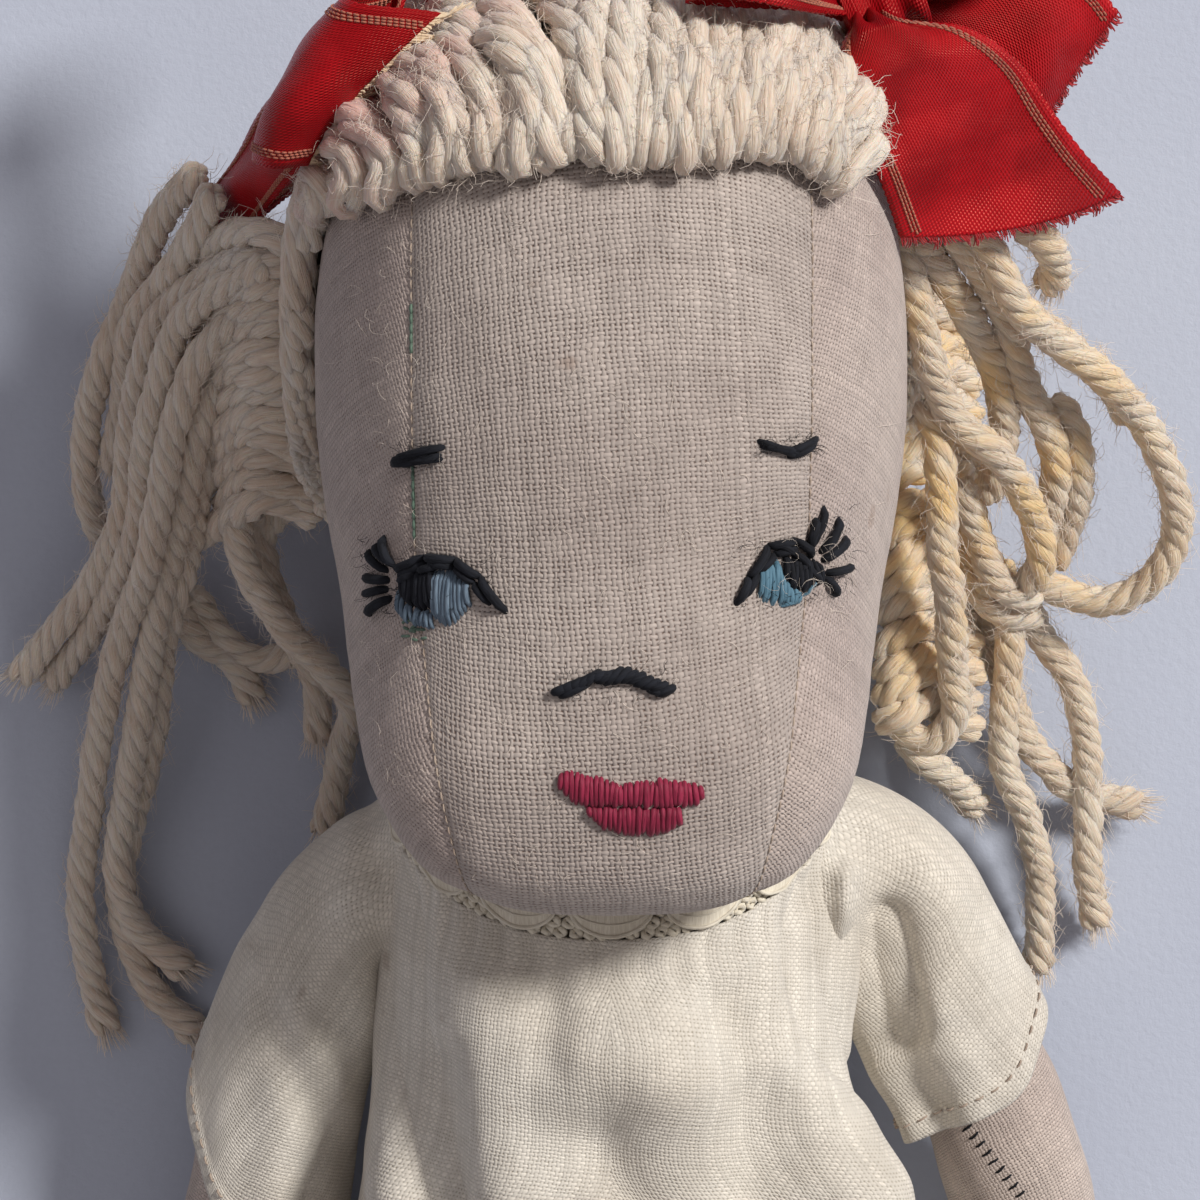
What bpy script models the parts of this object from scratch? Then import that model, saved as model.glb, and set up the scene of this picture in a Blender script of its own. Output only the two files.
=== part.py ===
"""Stuffed cloth rag doll lying on its back: +Z out of its face, +Y towards its head, +X towards its own left.

The origin lies under the middle of the torso, on the flat of the smock's back. Sizes are in metres.
"""
import math

import bmesh
import bpy
import numpy as np
from mathutils import Vector

for thing in list(bpy.data.objects):
    bpy.data.objects.remove(thing, do_unlink=True)

MM = 0.001

# Clearances and cloth
GAP = 0.3 * MM
FLAT_CUT = 0.5 * MM
LINEN = 0.8 * MM
COTTON = 1.2 * MM
PIVOT_ROOM = 0.6 * MM
EASE = 0.5 * MM

# Head
HEAD_HEIGHT = 95 * MM
HEAD_WIDTH = 65.4 * MM
HEAD_DEPTH = 70 * MM
CHIN_Y = 47 * MM
HAIR_DEPTH = 5.2 * MM
SECTION_POWER = 2.4
SEAM_X = 20.5 * MM
NECK_SEAM_X = 12.2 * MM

# Neck
NECK_RADIUS = 11 * MM
NECK_Y = 62 * MM
NECK_Z = 30 * MM
NECK_LENGTH = 13 * MM

# Torso
TORSO_WIDTH = 74 * MM
TORSO_DEPTH = 46.5 * MM
HIP_Y = -60 * MM
HIP_Z = 20 * MM
SEAM_EDGE = 0.45 * MM
SEAM_HALF = 0.3 * MM
SHOULDER_Y = 63 * MM
TORSO_SIDE = 25.3 * MM

# Arms
ARM_RADIUS = 9 * MM
ARM_LENGTH = 142 * MM
ARM_Z = 24 * MM
ARM_EASE = 28 * MM
HAND_Z = 6.2 * MM
THUMB = 2.6 * MM
ARM_BEND = 10.5 * MM
LEFT_ARM_Y = 48 * MM
LEFT_ARM_STRAIGHT = 16 * MM
LEFT_ARM_SET = math.radians(5)
LEFT_SHOULDER = math.radians(28)
LEFT_SPLAY = math.radians(13)
RIGHT_ARM_Y = 44.5 * MM
RIGHT_ARM_RISE = 0.4 * MM
RIGHT_ARM_SET = math.radians(15)
RIGHT_SHOULDER = math.radians(30)
RIGHT_SPLAY = math.radians(10)

# Legs
LEG_LENGTH = 190 * MM
LEG_X = 18.6 * MM
LEG_WIDTH = 31 * MM
LEG_DEPTH = 34 * MM
LEG_SPREAD = 7 * MM
FOOT_HEIGHT = 44 * MM

# Smock and bloomers
SMOCK_HEM_Y = -28 * MM
SMOCK_FLARE = 3 * MM
NECKLINE_Y = 43 * MM
NECKLINE_BACK_Y = 56 * MM
NECKLINE_SIDE_Y = 59.2 * MM
NECKLINE_POWER = 1.4
SMOCK_FOLD = 2.4 * MM
LEFT_SLEEVE = 35 * MM
RIGHT_SLEEVE = 45 * MM
HEM_RISE = 14 * MM
SLEEVE_ROOM = 2.7 * MM
SLEEVE_FOLD = 0.9 * MM
LEFT_PUFF = 1 * MM
RIGHT_PUFF = 0.4 * MM
EDGING_WIDTH = 3 * MM
EDGING_THICK = 1.4 * MM
SCALLOP = 1.6 * MM
SEAT_END = 8 * MM
BLOOMER_LENGTH = 62 * MM
CUFF_WIDTH = 5 * MM
CUFF_THICK = 1.6 * MM

# Hair and ribbon
FRINGE_DEPTH = 6.4 * MM
PARTING_X = -4.6 * MM
BUNDLE_RADIUS = 14 * MM
ROOT_RADIUS = 5 * MM
RIBBON_WIDTH = 22 * MM
RIBBON_THICK = 0.8 * MM
KNOT_RADIUS = 4.4 * MM

# Embroidery
THREAD = 0.7 * MM
EYE_Y = 81 * MM
EYE_X = 18.1 * MM
EYE_HEIGHT = 5.6 * MM
IRIS_WIDTH = 6.6 * MM
BROW_Y = 95.3 * MM
BROW_X = 19.2 * MM
BROW_LENGTH = 6 * MM
NOSE_Y = 72 * MM
NOSE_WIDTH = 10.8 * MM
LIP_WIDTH = 14.4 * MM
LIP_UPPER_Y = 61 * MM
LIP_HEIGHT = 3.4 * MM
LIP_X = 1.6 * MM

# Mesh counts
ROUND = 28

HEAD_CENTRE = Vector((0, CHIN_Y + HEAD_HEIGHT * 0.48, HAIR_DEPTH + HEAD_DEPTH / 2))

# Way up the head, half width, back and front, as shares of its height, half width and depth
head_shares = [
    (0.000, 0.00, 0.82, 0.82),
    (0.006, 0.25, 0.775, 0.865),
    (0.021, 0.43, 0.735, 0.90),
    (0.053, 0.60, 0.685, 0.94),
    (0.116, 0.735, 0.605, 0.975),
    (0.158, 0.79, 0.535, 0.99),
    (0.200, 0.82, 0.42, 1.00),
    (0.242, 0.845, 0.28, 1.00),
    (0.284, 0.865, 0.15, 1.00),
    (0.347, 0.895, 0.045, 1.00),
    (0.463, 0.963, 0.00, 1.00),
    (0.579, 1.00, 0.00, 1.00),
    (0.663, 1.00, 0.00, 1.00),
    (0.747, 0.98, 0.01, 1.00),
    (0.821, 0.92, 0.04, 0.985),
    (0.874, 0.83, 0.09, 0.95),
    (0.937, 0.65, 0.19, 0.86),
    (0.979, 0.40, 0.32, 0.72),
    (0.994, 0.22, 0.41, 0.61),
    (1.000, 0.00, 0.50, 0.50),
]

# Way up the torso, half width, lowest and highest point, as shares of its length, half width and depth
torso_shares = [
    (0.04, 0.90, 0.335, 0.475),
    (0.12, 0.97, 0.185, 0.620),
    (0.20, 1.00, 0.055, 0.770),
    (0.29, 0.965, 0.00, 0.870),
    (0.41, 0.87, 0.00, 0.935),
    (0.57, 0.73, 0.00, 0.975),
    (0.70, 0.68, 0.00, 0.990),
    (0.85, 0.680, 0.00, 1.00),
    (0.91, 0.675, 0.02, 0.975),
    (0.95, 0.655, 0.07, 0.890),
    (0.98, 0.55, 0.15, 0.790),
    (1.00, 0.36, 0.28, 0.660),
]

# Way down the leg, half width, lowest and highest point, as shares of its length, half width and depth
leg_shares = [
    (0.026, 0.92, 0.45, 0.64),
    (0.063, 0.96, 0.31, 0.78),
    (0.105, 0.99, 0.16, 0.93),
    (0.147, 1.00, 0.05, 0.995),
    (0.237, 1.00, 0.045, 1.00),
    (0.368, 0.97, 0.045, 0.95),
    (0.500, 0.88, -0.01, 0.83),
    (0.620, 0.86, -0.015, 0.79),
    (0.740, 0.82, -0.015, 0.74),
    (0.830, 0.74, -0.015, 0.67),
]

# Way down the foot, half width, lowest and highest point, as shares of the way left, half width and height
foot_shares = [
    (0.25, 0.72, -0.012, 0.60),
    (0.50, 0.76, -0.012, 0.86),
    (0.72, 0.80, 0.00, 0.98),
    (0.90, 0.74, 0.03, 0.97),
    (1.00, 0.55, 0.12, 0.88),
]

# Way along the arm, half width and half height, as shares of length and radius
arm_shares = [
    (0.00, 1.00, 1.00),
    (0.12, 1.00, 1.00),
    (0.30, 1.00, 0.98),
    (0.48, 0.90, 0.86),
    (0.64, 0.80, 0.76),
    (0.76, 0.76, 0.70),
    (0.86, 0.96, 0.72),
    (0.94, 0.92, 0.66),
    (0.985, 0.62, 0.46),
    (1.00, 0.25, 0.20),
]


def smooth_table(table, at):
    """The table's other columns at each place of its first column, along a curve that doesn't overshoot."""
    rows = np.array(table, float)
    x = rows[:, 0]
    out = []
    at = np.clip(np.asarray(at, float), x[0], x[-1])
    index = np.clip(np.searchsorted(x, at, side="right") - 1, 0, len(x) - 2)
    width = np.diff(x)
    t = (at - x[index]) / width[index]
    for column in range(1, rows.shape[1]):
        y = rows[:, column]
        slope = np.diff(y) / width
        m = np.empty(len(x))
        m[0] = slope[0]
        m[-1] = slope[-1]
        same = slope[:-1] * slope[1:] > 0
        total = np.where(same, slope[:-1] + slope[1:], 1.0)
        m[1:-1] = np.where(same, 2 * slope[:-1] * slope[1:] / total, 0.0)
        h = width[index]
        value = (2 * t**3 - 3 * t**2 + 1) * y[index] + (t**3 - 2 * t**2 + t) * h * m[index]
        value += (-2 * t**3 + 3 * t**2) * y[index + 1] + (t**3 - t**2) * h * m[index + 1]
        out.append(value)
    return out


def material(name, colour, roughness=0.9, metallic=0.0):
    made = bpy.data.materials.get(name)
    if made is None:
        made = bpy.data.materials.new(name)
        made.use_nodes = True
        shader = made.node_tree.nodes["Principled BSDF"]
        shader.inputs["Base Color"].default_value = (*colour, 1.0)
        shader.inputs["Roughness"].default_value = roughness
        shader.inputs["Metallic"].default_value = metallic
    return made


LINEN_COLOUR = (0.57, 0.46, 0.40)
COTTON_COLOUR = (0.68, 0.66, 0.55)
STUFFING_COLOUR = (0.80, 0.78, 0.70)
HAIR_COLOUR = (0.76, 0.69, 0.55)
RIBBON_COLOUR = (0.50, 0.015, 0.02)
DARK_THREAD = (0.012, 0.014, 0.02)
BLUE_THREAD = (0.10, 0.22, 0.34)
ROSE_THREAD = (0.30, 0.02, 0.06)
LACE_COLOUR = (0.74, 0.70, 0.56)

pivots = {}


def pivot(name, place):
    """An empty on a joint's axis, which carries what moves with it."""
    empty = bpy.data.objects.new(name, None)
    empty.location = place
    bpy.context.scene.collection.objects.link(empty)
    pivots[name] = empty
    return empty


def finish(name, mesh_data, colour, carried_by=None, roughness=0.9):
    """Makes the node from a bmesh, with its faces out and its origin at its pivot."""
    mesh_data.normal_update()
    bmesh.ops.recalc_face_normals(mesh_data, faces=mesh_data.faces)
    bmesh.ops.triangulate(mesh_data, faces=mesh_data.faces)
    place = Vector((0, 0, 0))
    if carried_by is not None:
        place = pivots[carried_by].location
        bmesh.ops.translate(mesh_data, verts=mesh_data.verts, vec=-place)
    mesh = bpy.data.meshes.new(name)
    mesh_data.to_mesh(mesh)
    mesh_data.free()
    mesh.shade_smooth()
    mesh.set_sharp_from_angle(angle=math.radians(50))
    made = bpy.data.objects.new(name, mesh)
    made.data.materials.append(material(name, colour, roughness))
    bpy.context.scene.collection.objects.link(made)
    if carried_by is not None:
        made.parent = pivots[carried_by]
    return made


def cut_with(target, cutter):
    cutter.hide_render = True
    cutter.display_type = "WIRE"
    cutting = target.modifiers.new("cut by " + cutter.name, "BOOLEAN")
    cutting.operation = "DIFFERENCE"
    cutting.object = cutter


def closed_grid(rows, wraps_round=False):
    """A bmesh between an outer and an inner grid of points, closed along its rims. rows is (outer, inner)."""
    made = bmesh.new()
    outer, inner = rows
    count, across = len(outer), len(outer[0])
    top = [[made.verts.new(p) for p in row] for row in outer]
    low = [[made.verts.new(p) for p in row] for row in inner]
    last = across if wraps_round else across - 1
    for i in range(count - 1):
        for j in range(last):
            k = (j + 1) % across
            made.faces.new((top[i][j], top[i][k], top[i + 1][k], top[i + 1][j]))
            made.faces.new((low[i][j], low[i + 1][j], low[i + 1][k], low[i][k]))
    for j in range(last):
        k = (j + 1) % across
        made.faces.new((top[0][j], low[0][j], low[0][k], top[0][k]))
        made.faces.new((top[-1][j], top[-1][k], low[-1][k], low[-1][j]))
    if not wraps_round:
        for i in range(count - 1):
            made.faces.new((top[i][0], top[i + 1][0], low[i + 1][0], low[i][0]))
            made.faces.new((top[i][-1], low[i][-1], low[i + 1][-1], top[i + 1][-1]))
    return made


def closed_loft(rings):
    """A bmesh through closed rings of points, with a fan over each end."""
    made = bmesh.new()
    loops = [[made.verts.new(p) for p in ring] for ring in rings]
    for near, far in zip(loops, loops[1:]):
        for j in range(len(near)):
            k = (j + 1) % len(near)
            made.faces.new((near[j], near[k], far[k], far[j]))
    for ring in (loops[0], loops[-1]):
        middle = Vector((0, 0, 0))
        for corner in ring:
            middle += corner.co
        middle = made.verts.new(middle / len(ring))
        for j in range(len(ring)):
            made.faces.new((ring[j], ring[(j + 1) % len(ring)], middle))
    return made


def section(angle, half_wide, low, high):
    """A point of a rounded cross-section, its angle counted from the top towards +X."""
    s, c = math.sin(angle), math.cos(angle)
    x = half_wide * math.copysign(abs(s) ** (2 / SECTION_POWER), s)
    z = (low + high) / 2 + (high - low) / 2 * math.copysign(abs(c) ** (2 / SECTION_POWER), c)
    return x, z


# Head surface

def head_solid(points):
    """How far out the points are, as 1 on the head's surface."""
    share = (points[..., 1] - CHIN_Y) / HEAD_HEIGHT
    half, back, front = smooth_table(head_shares, share)
    base = HAIR_DEPTH
    half = np.maximum(half * HEAD_WIDTH / 2, FLAT_CUT * 0.01)
    low = base + back * HEAD_DEPTH
    high = base + front * HEAD_DEPTH
    deep = np.maximum((high - low) / 2, FLAT_CUT * 0.01)
    far = (np.abs(points[..., 0]) / half) ** SECTION_POWER
    far = far + (np.abs(points[..., 2] - (low + high) / 2) / deep) ** SECTION_POWER
    return np.where((share < 0) | (share > 1), 9.0, far)


def head_points(directions, out):
    """Where rays from the head's centre meet its surface, moved out along the ray."""
    directions = np.asarray(directions, float)
    centre = np.array(HEAD_CENTRE)
    low = np.zeros(directions.shape[:-1])
    high = np.full(directions.shape[:-1], HEAD_HEIGHT)
    for _ in range(40):
        middle = (low + high) / 2
        inside = head_solid(centre + directions * middle[..., None]) < 1
        low = np.where(inside, middle, low)
        high = np.where(inside, high, middle)
    return centre + directions * (low + out)[..., None]


def turned(theta, phi):
    """A direction: theta runs from +Y over +Z in the middle plane, phi towards +X."""
    return (math.sin(phi), math.cos(phi) * math.cos(theta), math.cos(phi) * math.sin(theta))


def seam_phi(theta, x):
    """The phi where the head's surface lies x from the middle plane."""
    low, high = 0.0, math.radians(85)
    for _ in range(24):
        middle = (low + high) / 2
        here = head_points([turned(theta, middle)], 0.0)[0]
        if here[0] < x:
            low = middle
        else:
            high = middle
    return low


NECK_THETA = math.radians(203)
NECK_OPEN = math.radians(27)


JAW_THETA = math.radians(160)


def spread(start, end, count):
    """Angles round the head from start to end, closer together over the jaw, where it turns most."""
    fine = np.linspace(start, end, 400)
    away = (fine - JAW_THETA + math.pi) % (2 * math.pi) - math.pi
    weight = 1 + 1.6 * np.exp(-((away / math.radians(38)) ** 2))
    way = np.concatenate(([0.0], np.cumsum((weight[1:] + weight[:-1]) / 2)))
    return np.interp(np.linspace(0, way[-1], count), way, fine)


def seam_at(theta):
    """Half the width of the head's middle panel: widest over the face, drawn in towards the neck."""
    away = abs((theta - NECK_THETA + math.pi) % (2 * math.pi) - math.pi)
    share = min(1.0, max(0.0, (away - NECK_OPEN) / math.radians(70)))
    share = share * share * (3 - 2 * share)
    return NECK_SEAM_X + (SEAM_X - NECK_SEAM_X) * share


def middle_panel():
    """The face, crown and back of the head in one strip that ends on either side of the neck."""
    start = NECK_THETA + NECK_OPEN - 2 * math.pi
    thetas = spread(start, NECK_THETA - NECK_OPEN, 37)
    outer, inner = [], []
    for theta in thetas:
        edge = seam_phi(theta, seam_at(theta) - GAP / 2)
        row = [turned(theta, p) for p in np.linspace(-edge, edge, 7)]
        outer.append(head_points(row, 0.0))
        inner.append(head_points(row, -LINEN))
    return closed_grid((outer, inner))


def side_panel(side):
    """One side of the head, from its cheek to the seam with the middle panel."""
    thetas = spread(NECK_THETA - 2 * math.pi, NECK_THETA, 37)[:-1]
    outer, inner = [], []
    edges = [seam_phi(t, seam_at(t) + GAP / 2) for t in thetas]
    for share in np.linspace(0, 0.90, 5):
        row = []
        for theta, edge in zip(thetas, edges):
            row.append(turned(theta, side * (edge + (math.pi / 2 - edge) * share)))
        outer.append(head_points(row, 0.0))
        inner.append(head_points(row, -LINEN))
    made = bmesh.new()
    top = [[made.verts.new(p) for p in row] for row in outer]
    low = [[made.verts.new(p) for p in row] for row in inner]
    count = len(thetas)
    for i in range(len(outer) - 1):
        for j in range(count):
            k = (j + 1) % count
            made.faces.new((top[i][j], top[i][k], top[i + 1][k], top[i + 1][j]))
            made.faces.new((low[i][j], low[i + 1][j], low[i + 1][k], low[i][k]))
    tip = head_points([turned(0, side * math.pi / 2)], 0.0)[0]
    tips = (made.verts.new(tip), made.verts.new(tip - np.array((side * LINEN, 0, 0))))
    for grid, middle in ((top, tips[0]), (low, tips[1])):
        for j in range(count):
            made.faces.new((grid[-1][j], grid[-1][(j + 1) % count], middle))
    for j in range(count):
        k = (j + 1) % count
        made.faces.new((top[0][j], low[0][j], low[0][k], top[0][k]))
    return made


def head_ball(out, rings, round_count):
    """The whole head's surface as a solid, moved out by a length."""
    made = bmesh.new()
    grid = []
    for phi in np.linspace(-math.pi / 2, math.pi / 2, rings)[1:-1]:
        row = [turned(t, phi) for t in spread(NECK_THETA - 2 * math.pi, NECK_THETA, round_count + 1)[:-1]]
        grid.append([made.verts.new(p) for p in head_points(row, out)])
    for near, far in zip(grid, grid[1:]):
        for j in range(round_count):
            k = (j + 1) % round_count
            made.faces.new((near[j], near[k], far[k], far[j]))
    for ring, side in ((grid[0], -1), (grid[-1], 1)):
        tip = made.verts.new(head_points([(side, 0, 0)], out)[0])
        for j in range(round_count):
            made.faces.new((ring[j], ring[(j + 1) % round_count], tip))
    return made


def above_floor(points):
    return [[Vector((p[0], p[1], max(p[2], 0.0))) for p in row] for row in points]


# Hair cap over the crown and back, a dish round an axis that points up and back
CAP_TILT = math.radians(-46)
CAP_OPEN = math.radians(70)


def hair_cap():
    axis = np.array(turned(CAP_TILT, 0))
    over = np.array(turned(CAP_TILT + math.pi / 2, 0))
    wide = np.array((1.0, 0, 0))
    outer, inner = [], []
    swell_shares = (0.0, 1.0, 1.0, 1.0, 1.0, 1.0, 0.94, 0.62)
    for step, swell in enumerate(swell_shares[1:], 1):
        psi = CAP_OPEN * step / (len(swell_shares) - 1)
        row = []
        for omega in np.linspace(0, 2 * math.pi, ROUND, endpoint=False):
            row.append(axis * math.cos(psi) + (wide * math.cos(omega) + over * math.sin(omega)) * math.sin(psi))
        outer.append(head_points(row, FLAT_CUT + HAIR_DEPTH * swell))
        inner.append(head_points(row, GAP + EASE))
    made = bmesh.new()
    top = [[made.verts.new(p) for p in row] for row in above_floor(outer)]
    low = [[made.verts.new(p) for p in row] for row in inner]
    for i in range(len(outer) - 1):
        for j in range(ROUND):
            k = (j + 1) % ROUND
            made.faces.new((top[i][j], top[i][k], top[i + 1][k], top[i + 1][j]))
            made.faces.new((low[i][j], low[i + 1][j], low[i + 1][k], low[i][k]))
    crown = (head_points([axis], FLAT_CUT + HAIR_DEPTH)[0], head_points([axis], GAP + EASE)[0])
    for grid, tip in ((top, crown[0]), (low, crown[1])):
        middle = made.verts.new((tip[0], tip[1], max(tip[2], 0.0)))
        for j in range(ROUND):
            made.faces.new((grid[0][j], grid[0][(j + 1) % ROUND], middle))
    for j in range(ROUND):
        k = (j + 1) % ROUND
        made.faces.new((top[-1][j], low[-1][j], low[-1][k], top[-1][k]))
    return made


FRINGE_TOP = CAP_TILT + CAP_OPEN + math.radians(1.2)
FRINGE_LOW = math.radians(48)
fringe_swell_shares = (0.86, 1.0, 1.0, 0.92, 0.55)


def fringe(low_phi, high_phi):
    """Yarn laid from the parting over the forehead, thickest at its middle, its ends rounded at the hairline."""
    outer, inner = [], []
    for step, swell in enumerate(fringe_swell_shares):
        theta = FRINGE_TOP + (FRINGE_LOW - FRINGE_TOP) * step / (len(fringe_swell_shares) - 1)
        phis = np.linspace(low_phi, high_phi, 9)
        row = [turned(theta, p) for p in phis]
        full = head_points(row, 0.0)
        thick = []
        for j in range(len(phis)):
            edge = min(j, len(phis) - 1 - j) / 2
            thick.append(FRINGE_DEPTH * swell * (0.7 + 0.3 * min(1.0, edge)))
        outer.append(full + np.array(row) * (GAP + np.array(thick))[:, None])
        inner.append(full + np.array(row) * (GAP + EASE))
    return closed_grid((outer, inner))


knot_shares = (0.8, 1.0, 0.62)

# Each knot's place, as shares of the head's width, height and depth
knot_place_shares = {"l": (0.4235, 1.0211, 0.7829), "r": (-0.3058, 1.0737, 0.7829)}

# Yarn beside the face: place as shares of the head's width, height and depth, then radius as a share
bundle_left_shares = [
    (0.50, 0.90, 0.52, 0.46),
    (0.60, 0.79, 0.50, 0.66),
    (0.70, 0.66, 0.33, 0.90),
    (0.78, 0.52, 0.20, 0.98),
    (0.82, 0.38, 0.14, 0.86),
    (0.80, 0.24, 0.09, 0.68),
    (0.80, 0.10, 0.06, 0.52),
    (0.84, -0.03, 0.04, 0.42),
    (0.86, -0.10, 0.03, 0.28),
]
bundle_right_shares = [
    (-0.45, 0.93, 0.52, 0.46),
    (-0.57, 0.79, 0.50, 0.66),
    (-0.66, 0.64, 0.33, 0.90),
    (-0.72, 0.50, 0.20, 0.98),
    (-0.78, 0.36, 0.14, 0.86),
    (-0.83, 0.22, 0.09, 0.66),
    (-0.88, 0.06, 0.05, 0.50),
    (-0.94, -0.10, 0.035, 0.42),
    (-0.97, -0.21, 0.03, 0.28),
]


def head_place(x_share, y_share, z_share):
    """A place counted from the head's middle, its chin and its back."""
    return Vector((x_share * HEAD_WIDTH, CHIN_Y + y_share * HEAD_HEIGHT, HAIR_DEPTH + z_share * HEAD_DEPTH))


def bundle(shares, knot):
    """Yarn gathered under a bow's knot, then swelling beside the face and narrowing to its loose ends."""
    root = ROOT_RADIUS
    centres = [(knot - Vector((0, 0, KNOT_RADIUS * knot_shares[2] + GAP + root)), root)]
    for x, y, z, radius in shares:
        centres.append((head_place(x, y, z), radius * BUNDLE_RADIUS))
    rings = []
    for i, (place, radius) in enumerate(centres):
        before = centres[max(i - 1, 0)][0]
        after = centres[min(i + 1, len(centres) - 1)][0]
        along = (after - before).normalized()
        wide = along.cross(Vector((0, 0, 1))).normalized()
        up = wide.cross(along)
        ring = []
        for j in range(12):
            turn = 2 * math.pi * j / 12
            point = place + wide * math.cos(turn) * radius + up * math.sin(turn) * radius
            ring.append(Vector((point.x, point.y, max(point.z, FLAT_CUT))))
        rings.append(ring)
    return closed_loft(rings)


# Face stitching, laid on the front of the head

def face_z(x, y):
    """The height of the face's surface over a place in front view."""
    low, high = HEAD_CENTRE.z, HAIR_DEPTH + HEAD_DEPTH + FLAT_CUT
    for _ in range(30):
        middle = (low + high) / 2
        if head_solid(np.array([(x, y, middle)]))[0] < 1:
            low = middle
        else:
            high = middle
    return low


def stitched(centres, halves, thick=THREAD):
    """A band of stitches along a line on the face, given by its middle points and half widths."""
    outer, inner = [], []
    for i, ((x, y), half) in enumerate(zip(centres, halves)):
        before = centres[max(i - 1, 0)]
        after = centres[min(i + 1, len(centres) - 1)]
        along = Vector((after[0] - before[0], after[1] - before[1])).normalized()
        across = Vector((-along.y, along.x)) * half
        top, low = [], []
        for share in (-1.0, -0.5, 0.0, 0.5, 1.0):
            px, py = x + across.x * share, y + across.y * share
            base = face_z(px, py) + GAP
            low.append(Vector((px, py, base)))
            top.append(Vector((px, py, base + thick * (1 - 0.5 * share * share))))
        outer.append(top)
        inner.append(low)
    return closed_grid((outer, inner))


def row_of(start, end, rise, count):
    """Points of a shallow arch from start to end, its middle raised."""
    points = []
    for i in range(count):
        share = i / (count - 1)
        x = start[0] + (end[0] - start[0]) * share
        y = start[1] + (end[1] - start[1]) * share + rise * 4 * share * (1 - share)
        points.append((x, y))
    return points


# Ribbons: a strip through places counted from the knot in ribbon widths, each with its half width and lean

def ribbon(knot, stations):
    outer, inner = [], []
    places = [knot + Vector(s[0]) * RIBBON_WIDTH for s in stations]
    for i, (place, station) in enumerate(zip(places, stations)):
        before = places[max(i - 1, 0)]
        after = places[min(i + 1, len(places) - 1)]
        along = (after - before).normalized()
        across = Vector(station[2])
        across = (across - along * across.dot(along)).normalized()
        face = along.cross(across).normalized()
        half = station[1] * RIBBON_WIDTH
        top, low = [], []
        for share in (-1.0, -0.5, 0.0, 0.5, 1.0):
            point = place + across * half * share
            top.append(point + face * RIBBON_THICK / 2)
            low.append(point - face * RIBBON_THICK / 2)
        outer.append(top)
        inner.append(low)
    return closed_grid((outer, inner))


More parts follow.
